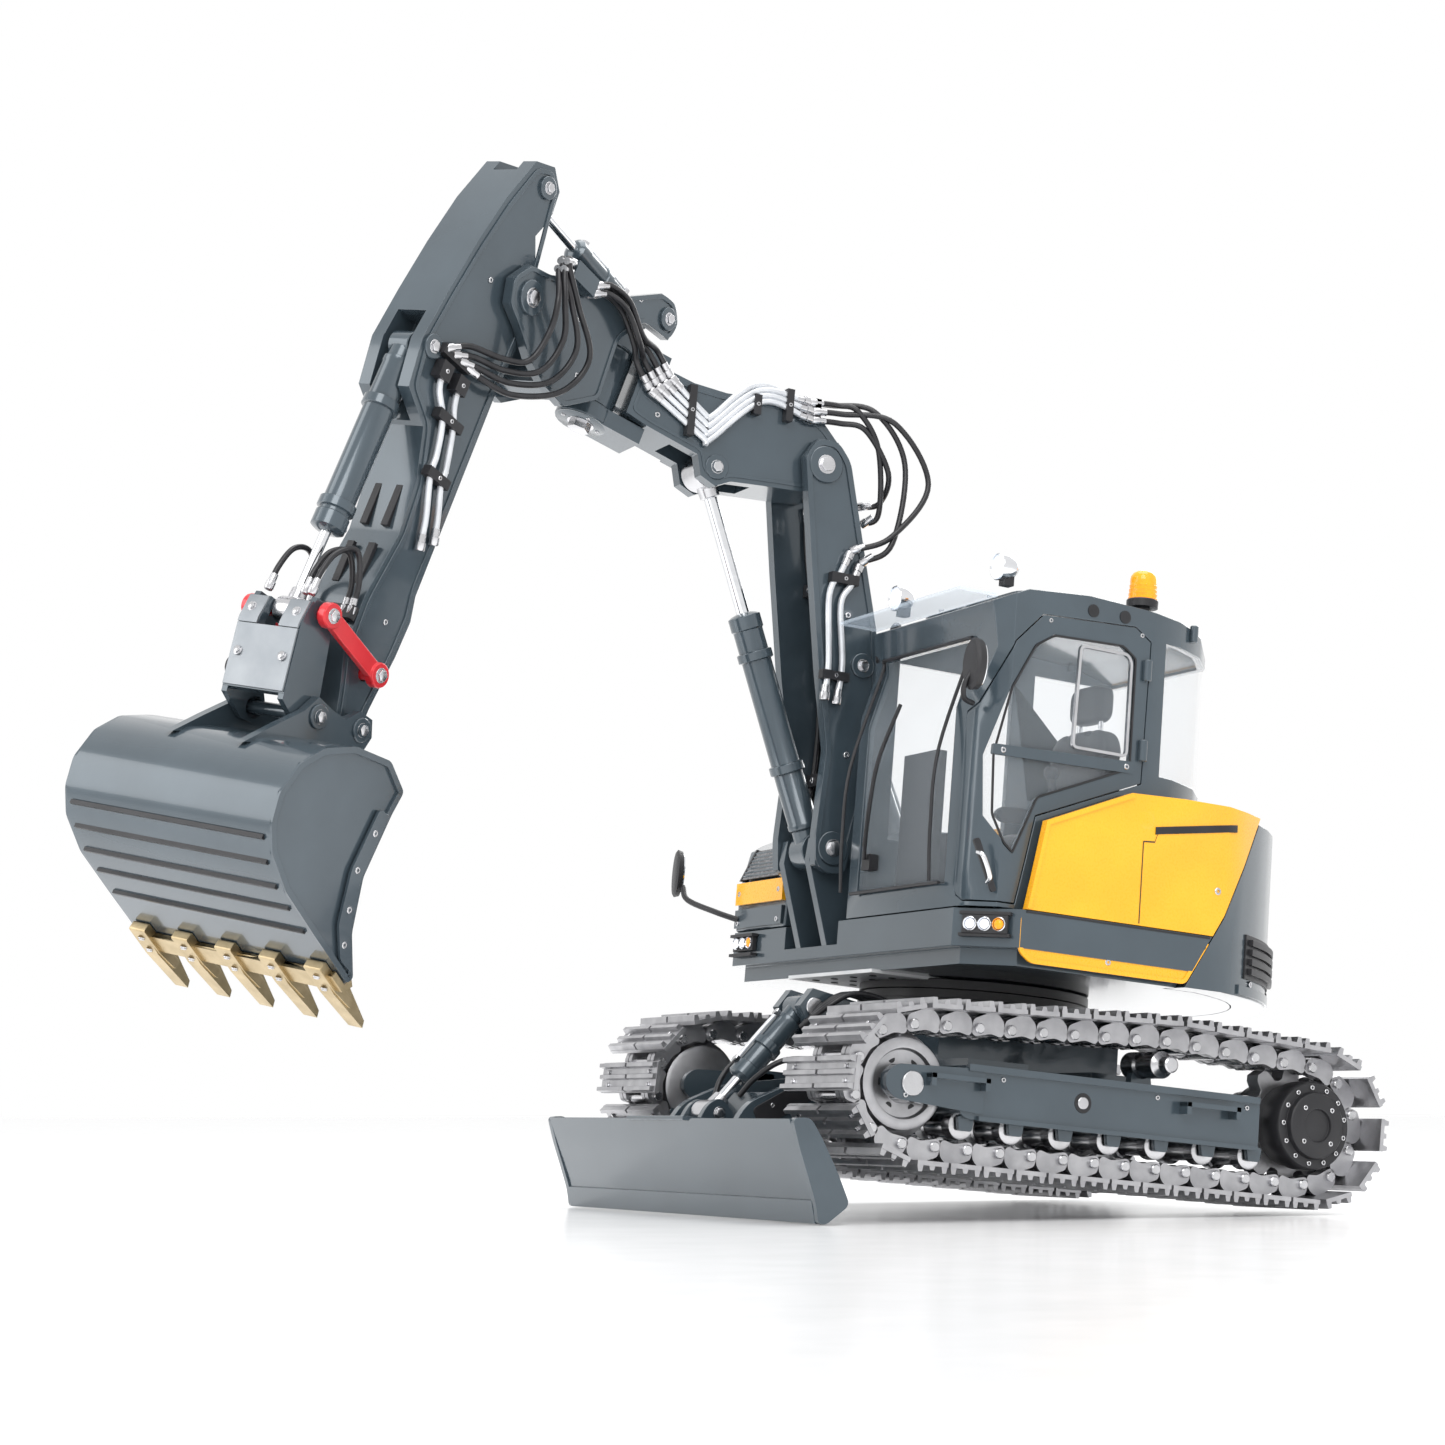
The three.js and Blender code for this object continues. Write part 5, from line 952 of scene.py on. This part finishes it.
# ---------------------------------------------------------------- pipes and hoses
def lines_of(runs, radius, material, name, body, node, slot, space=MACHINE, blocks=(), extra=None, steps=6, ends=None):
    """Pipes or hoses with their end fittings: blocks are clamps, ends the two bodies that hoses join; given ends, the
    pieces stay in place on no body, and the bodies and points in ends are not used.
    """
    shape = Shape(material, BLACK, STEEL)
    for points in runs:
        shape.use(0).tube(points, radius, 14, steps)
        for at, on in ((points[0], points[1]), (points[-1], points[-2])):
            way = (Vector(on) - Vector(at)).normalized()
            shape.use(2).turned(Vector(at) - way * 0.4, Vector(at) + way * 6, [
                (0, radius * 1.35), (0.5, radius * 1.6), (3.0, radius * 1.6), (3.2, radius * 1.3),
                (6, radius * 1.25)], 12)
    for block in blocks:
        shape.use(1).box(*block)
        x0, x1, y0, y1, z0, z1 = block
        shape.use(2).cap_screw(((x0 + x1) / 2, y1, (z0 + z1) / 2), (0, 1, 0), 0.9, 0.4)
    if extra:
        extra(shape)
    piece = shape.finish(name, None if ends else body, space, replaces=() if ends else [node], slot=slot, bevel=0)
    if ends:
        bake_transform(piece)
        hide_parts(node)
    return piece


def moved(point, dx, dy, dz):
    return (point[0] + dx, point[1] + dy, point[2] + dz)


PIPE_ENDS = [(95, -8.3, 290.8), (95, -8.3, 294.4), (96.5, -8.6, 297.9), (97.5, -12.4, 298.4)]
PIPE_STARTS = [(161 - 2.7 * i, -8.4, 291.7 + 2.2 * i) for i in (-1.5, -0.5, 0.5, 1.5)]
upper = [[start, (141.5, -8.4, 274.6 + 3.1 * i), (138.5, -8.4, 274 + 3.1 * i),
          (117 + 1.2 * i, -8.4, 293.8 + 2 * i), PIPE_ENDS[i]]
         for i, start in enumerate(PIPE_STARTS)]
lines_of(upper, 1.25, PIPE, "upper_pipes", "upper_boom", "pipes_upper_boom", "silver_alloy", steps=8, blocks=[
    (146, 149, -9.9, -6.6, 274, 294), (118, 121, -9.9, -6.6, 288, 296), (104, 107, -9.9, -6.6, 288, 301)])
LOWER_TOPS = [(76.3, -2.6, 239.2), (71.7, -2.6, 235)]
lower = [[LOWER_TOPS[0], (79.6, -2.6, 231), (84, -2.6, 221), (82, -2.6, 195), (82.6, -2.6, 180)],
         [LOWER_TOPS[1], (74.5, -2.6, 227), (78.6, -2.6, 218), (76, -2.6, 195), (77.4, -2.6, 179)]]
lines_of(lower, 1.25, PIPE, "lower_pipes", "lower_boom", "pipes_lower_boom", "silver_alloy", blocks=[
    (72, 84, -4.5, -1, 226.5, 230.5), (73, 85, -4.5, -1, 188, 191.5)])
along = ((78.5, 262), (75.8, 240), (68.5, 208), (65.2, 178), (66, 150), (70, 136))
bundle = [[(x + ahead, BOOM_Y + across, z) for x, z in along]
          for across in (-11.6, 11.6) for ahead in (0, 2.7)]
lines_of(bundle, 1.05, RUBBER, "boom_hoses", "lower_boom", "hoses_lower_boom", "hose_rubber",
         extra=lambda shape: [shape.use(1).box(*block) for block in (
             (72.4, 78.8, BOOM_Y - 12.8, BOOM_Y + 12.8, 226, 231), (64, 70.6, BOOM_Y - 12.8, BOOM_Y + 12.8, 150, 155))])
knee = []
for i, start in enumerate(PIPE_ENDS):
    size = (0.7, 1, 0.62, 0.86)[i]
    outside = i % 2 == 1
    end = moved(LOWER_TOPS[(i - 1) // 2], -0.6, 0, 1) if outside else (67, BOOM_Y + 6 + 2 * i, 262 - 4 * i)
    start = moved(start, -0.4, 0, 0)
    out = 1 if outside else 0.45
    knee.append([start, moved(start, -12, 1.5 * out, 1), moved(start, -31 * size, 11 * out, -1),
                 moved(start, -46 * size, 15 * out, -24 * size),
                 moved(lerp(start, end, 0.8), -17 * size, 9 * out, -4), end])
lines_of(knee, 1.15, RUBBER, "knee_hoses", "lower_boom", "hoses_knee", "hose_rubber", steps=10,
         ends=("lower_boom", "upper_boom", (72, -6, 240), (95, -8, 293)),
         extra=lambda shape: shape.use(1).box(91.6, 94, -9.9, -7, 289.8, 299.6).box(91.6, 94, -13.8, -7, 296, 299.6))
PORTS = [(18.2, 31.3), (21.2, 31.3), (18.2, 34.7), (21.2, 34.7)]
over = []
for i, (across, height) in enumerate(PORTS):
    end = moved(PIPE_STARTS[i], 0.6, 0, 0.7)
    over.append([in_head((43, across, height)), in_head((37, across + 1.5, height + 4)),
                 in_head((24, across + 1.5, height + 5)), in_head((9, across + 0.6, height - 1)),
                 Vector(moved(end, 7, 2, 8)), Vector(end)])
lines_of(over, 1.15, RUBBER, "head_hoses", "upper_boom", "hoses_head", "hose_rubber", steps=8,
         ends=("upper_boom", "offset_head", (166, -8, 293), tuple(in_head((34, 19, 35)))),
         extra=lambda shape: shape.use(1).bar(
             moved(PIPE_STARTS[0], 2.4, 0.2, 2.6), moved(PIPE_STARTS[3], 2.4, 0.2, 2.6), 1.3, 14))
round_pivot = []
for i, (across, height) in enumerate(PORTS):
    loop = lambda a, b, y: (*lerp(a, b, i / 3)[:1], y, lerp(a, b, i / 3)[1])
    round_pivot.append([(58.6, across, height), (62.5, across + 0.8, height - 1.6), loop((63, 17), (52, 21), 24.8),
                        loop((60, 5), (35, 9), 24), loop((61, -8), (39, -8), 21), loop((72, -14), (60, -22), 19),
                        loop((87, -18), (76, -24.6), 16.4), (95.5 - 4.2 * i, 14.4, -24)])
lines_of(round_pivot, 1.15, RUBBER, "stick_hoses", "stick", "hoses_stick", "hose_rubber", HEAD, steps=10,
         ends=("offset_head", "stick", (58, 22, 26), (80, 16, -20)),
         extra=lambda shape: shape.use(1).box(81.2, 97.2, 12.4, 15.6, -26.4, -22.6))
down = [[(x, 14.3, z) for x, z in run] for run in (
    ((93, -30), (91, -38), (84, -46), (80, -58), (79, -66), (73, -80), (70, -91)),
    ((83, -30), (81, -39), (77, -47), (73, -60), (72, -67), (67.5, -77), (64.5, -86)))]
lines_of(down, 1.2, PIPE, "stick_pipes", "stick", "pipes_stick", "silver_alloy", HEAD, blocks=[
    (90, 96, 12.4, 16.6, -35, -28.6), (80, 86, 12.4, 16.6, -35, -28.6), (74, 88, 12.4, 16, -47, -43.4),
    (69.5, 82, 12.4, 16, -67, -63.4)])
arches = [[(86, y, -125), (88, y * 1.02, -114), (95, y * 1.05, -107 + i), (103, y, -110), (106.5, y, -119),
           (106.8, y, -127.6)]
          for i, y in enumerate((-9.6, 7.6, 10.8))]
lines_of(arches, 1.05, RUBBER, "bucket_hoses", "stick", "hoses_bucket", "hose_rubber", HEAD, steps=8,
         ends=("stick", "link_bars", (88, 0, -122), (105, 0, -124)),
         extra=lambda shape: shape.use(1).box(84.6, 87.6, -11.4, 12.4, -127, -122))

# ---------------------------------------------------------------- CAD shapes kept, with eased edges and finishes
BODY_OF = {node: body for body, nodes in frame["record"]["behaviour"]["bodies"].items() for node in nodes}
SLOT_OF = {part["node"]: part["material_slot"] for part in frame["record"]["subparts"]}
BY_SLOT = {"slate_paint": PAINT, "yellow_paint": YELLOW, "red_paint": RED, "glazing": GLASS, "black_plastic": PLASTIC,
           "silver_alloy": PIPE, "tooth_brass": BRASS}
EASE = {"cab_frame": 1.0, "door_frame": 0.5, "counterweight": 2.0, "engine_cover": 1.4, "hood_right": 2.0, "deck": 0.8,
        "windshield": 0.2, "cab_glass_right": 0.2, "rear_glass": 0.2, "door_glass": 0.2, "bucket_teeth": 0.4,
        "lower_boom": 0.7, "upper_boom": 0.9, "offset_head": 0.7, "stick": 0.9, "bucket": 0.5}
for node in ("deck", "counterweight", "engine_cover", "hood_right", "cab_frame", "windshield", "cab_glass_right",
             "rear_glass", "sun_visor", "control_console", "battery_pack", "hydraulic_pump", "door_frame", "door_glass", "lower_boom",
             "upper_boom", "offset_head", "stick", "link_bars", "link_yoke", "bucket", "bucket_teeth"):
    finish = VISOR if node == "sun_visor" else BY_SLOT[SLOT_OF[node]]
    refined(node, BODY_OF[node], finish, SLOT_OF[node], EASE.get(node, 0.3))


# ---------------------------------------------------------------- floor, light and camera
floor_material = surface("pale_floor", (0.955, 0.955, 0.96), (0.97, 0.97, 0.975), (0.16, 0.2), 0.0, 40, 0.0, 2)
floor_mesh = bmesh.new()
bmesh.ops.create_grid(floor_mesh, x_segments=2, y_segments=2, size=12)
floor_data = bpy.data.meshes.new("floor")
floor_mesh.to_mesh(floor_data)
floor_mesh.free()
floor_data.materials.append(floor_material)
floor = bpy.data.objects.new("floor", floor_data)
bpy.context.scene.collection.objects.link(floor)
floor.location.z = -0.0003

world = bpy.data.worlds.new("studio")
world.use_nodes = True
world.node_tree.nodes["Background"].inputs["Color"].default_value = (1.0, 1.0, 1.0, 1)
world.node_tree.nodes["Background"].inputs["Strength"].default_value = 1.0
bpy.context.scene.world = world


def softbox(name, place, target, size, power):
    data = bpy.data.lights.new(name, "AREA")
    data.shape = "RECTANGLE"
    data.size, data.size_y = size
    data.energy = power
    light = bpy.data.objects.new(name, data)
    light.location = place
    light.rotation_euler = (Vector(target) - Vector(place)).to_track_quat("-Z", "Y").to_euler()
    bpy.context.scene.collection.objects.link(light)


softbox("key", (0.9, 1.6, 1.5), (0, 0, 0.15), (1.2, 1.2), 20)
softbox("fill", (1.9, -0.4, 0.9), (0, 0, 0.15), (1.0, 1.4), 10)
softbox("top", (-0.2, 0.1, 1.9), (0, 0, 0), (1.8, 1.2), 18)
softbox("rim", (-1.4, -1.0, 1.0), (0, 0, 0.2), (1.0, 1.0), 12)

CAMERA_TURN = math.radians(26.8)  # how far the lens looks round from straight along the side
CAMERA_TILT = math.radians(7.6)  # how far it looks up
camera_data = bpy.data.cameras.new("camera")
camera_data.sensor_width = 36
camera_data.lens = 72.25
camera_data.clip_start = 0.01
camera = bpy.data.objects.new("camera", camera_data)
right = Vector((-math.cos(CAMERA_TURN), math.sin(CAMERA_TURN), 0))
level = Vector((-math.sin(CAMERA_TURN), -math.cos(CAMERA_TURN), 0))
forward = level * math.cos(CAMERA_TILT) + Vector((0, 0, math.sin(CAMERA_TILT)))
camera.matrix_world = Matrix.LocRotScale((0.48094, 0.98418, 0.0385), Matrix(
    (right, right.cross(forward), -forward)).transposed(), None)
bpy.context.scene.collection.objects.link(camera)
bpy.context.scene.camera = camera
bpy.context.scene.view_settings.view_transform = "Standard"
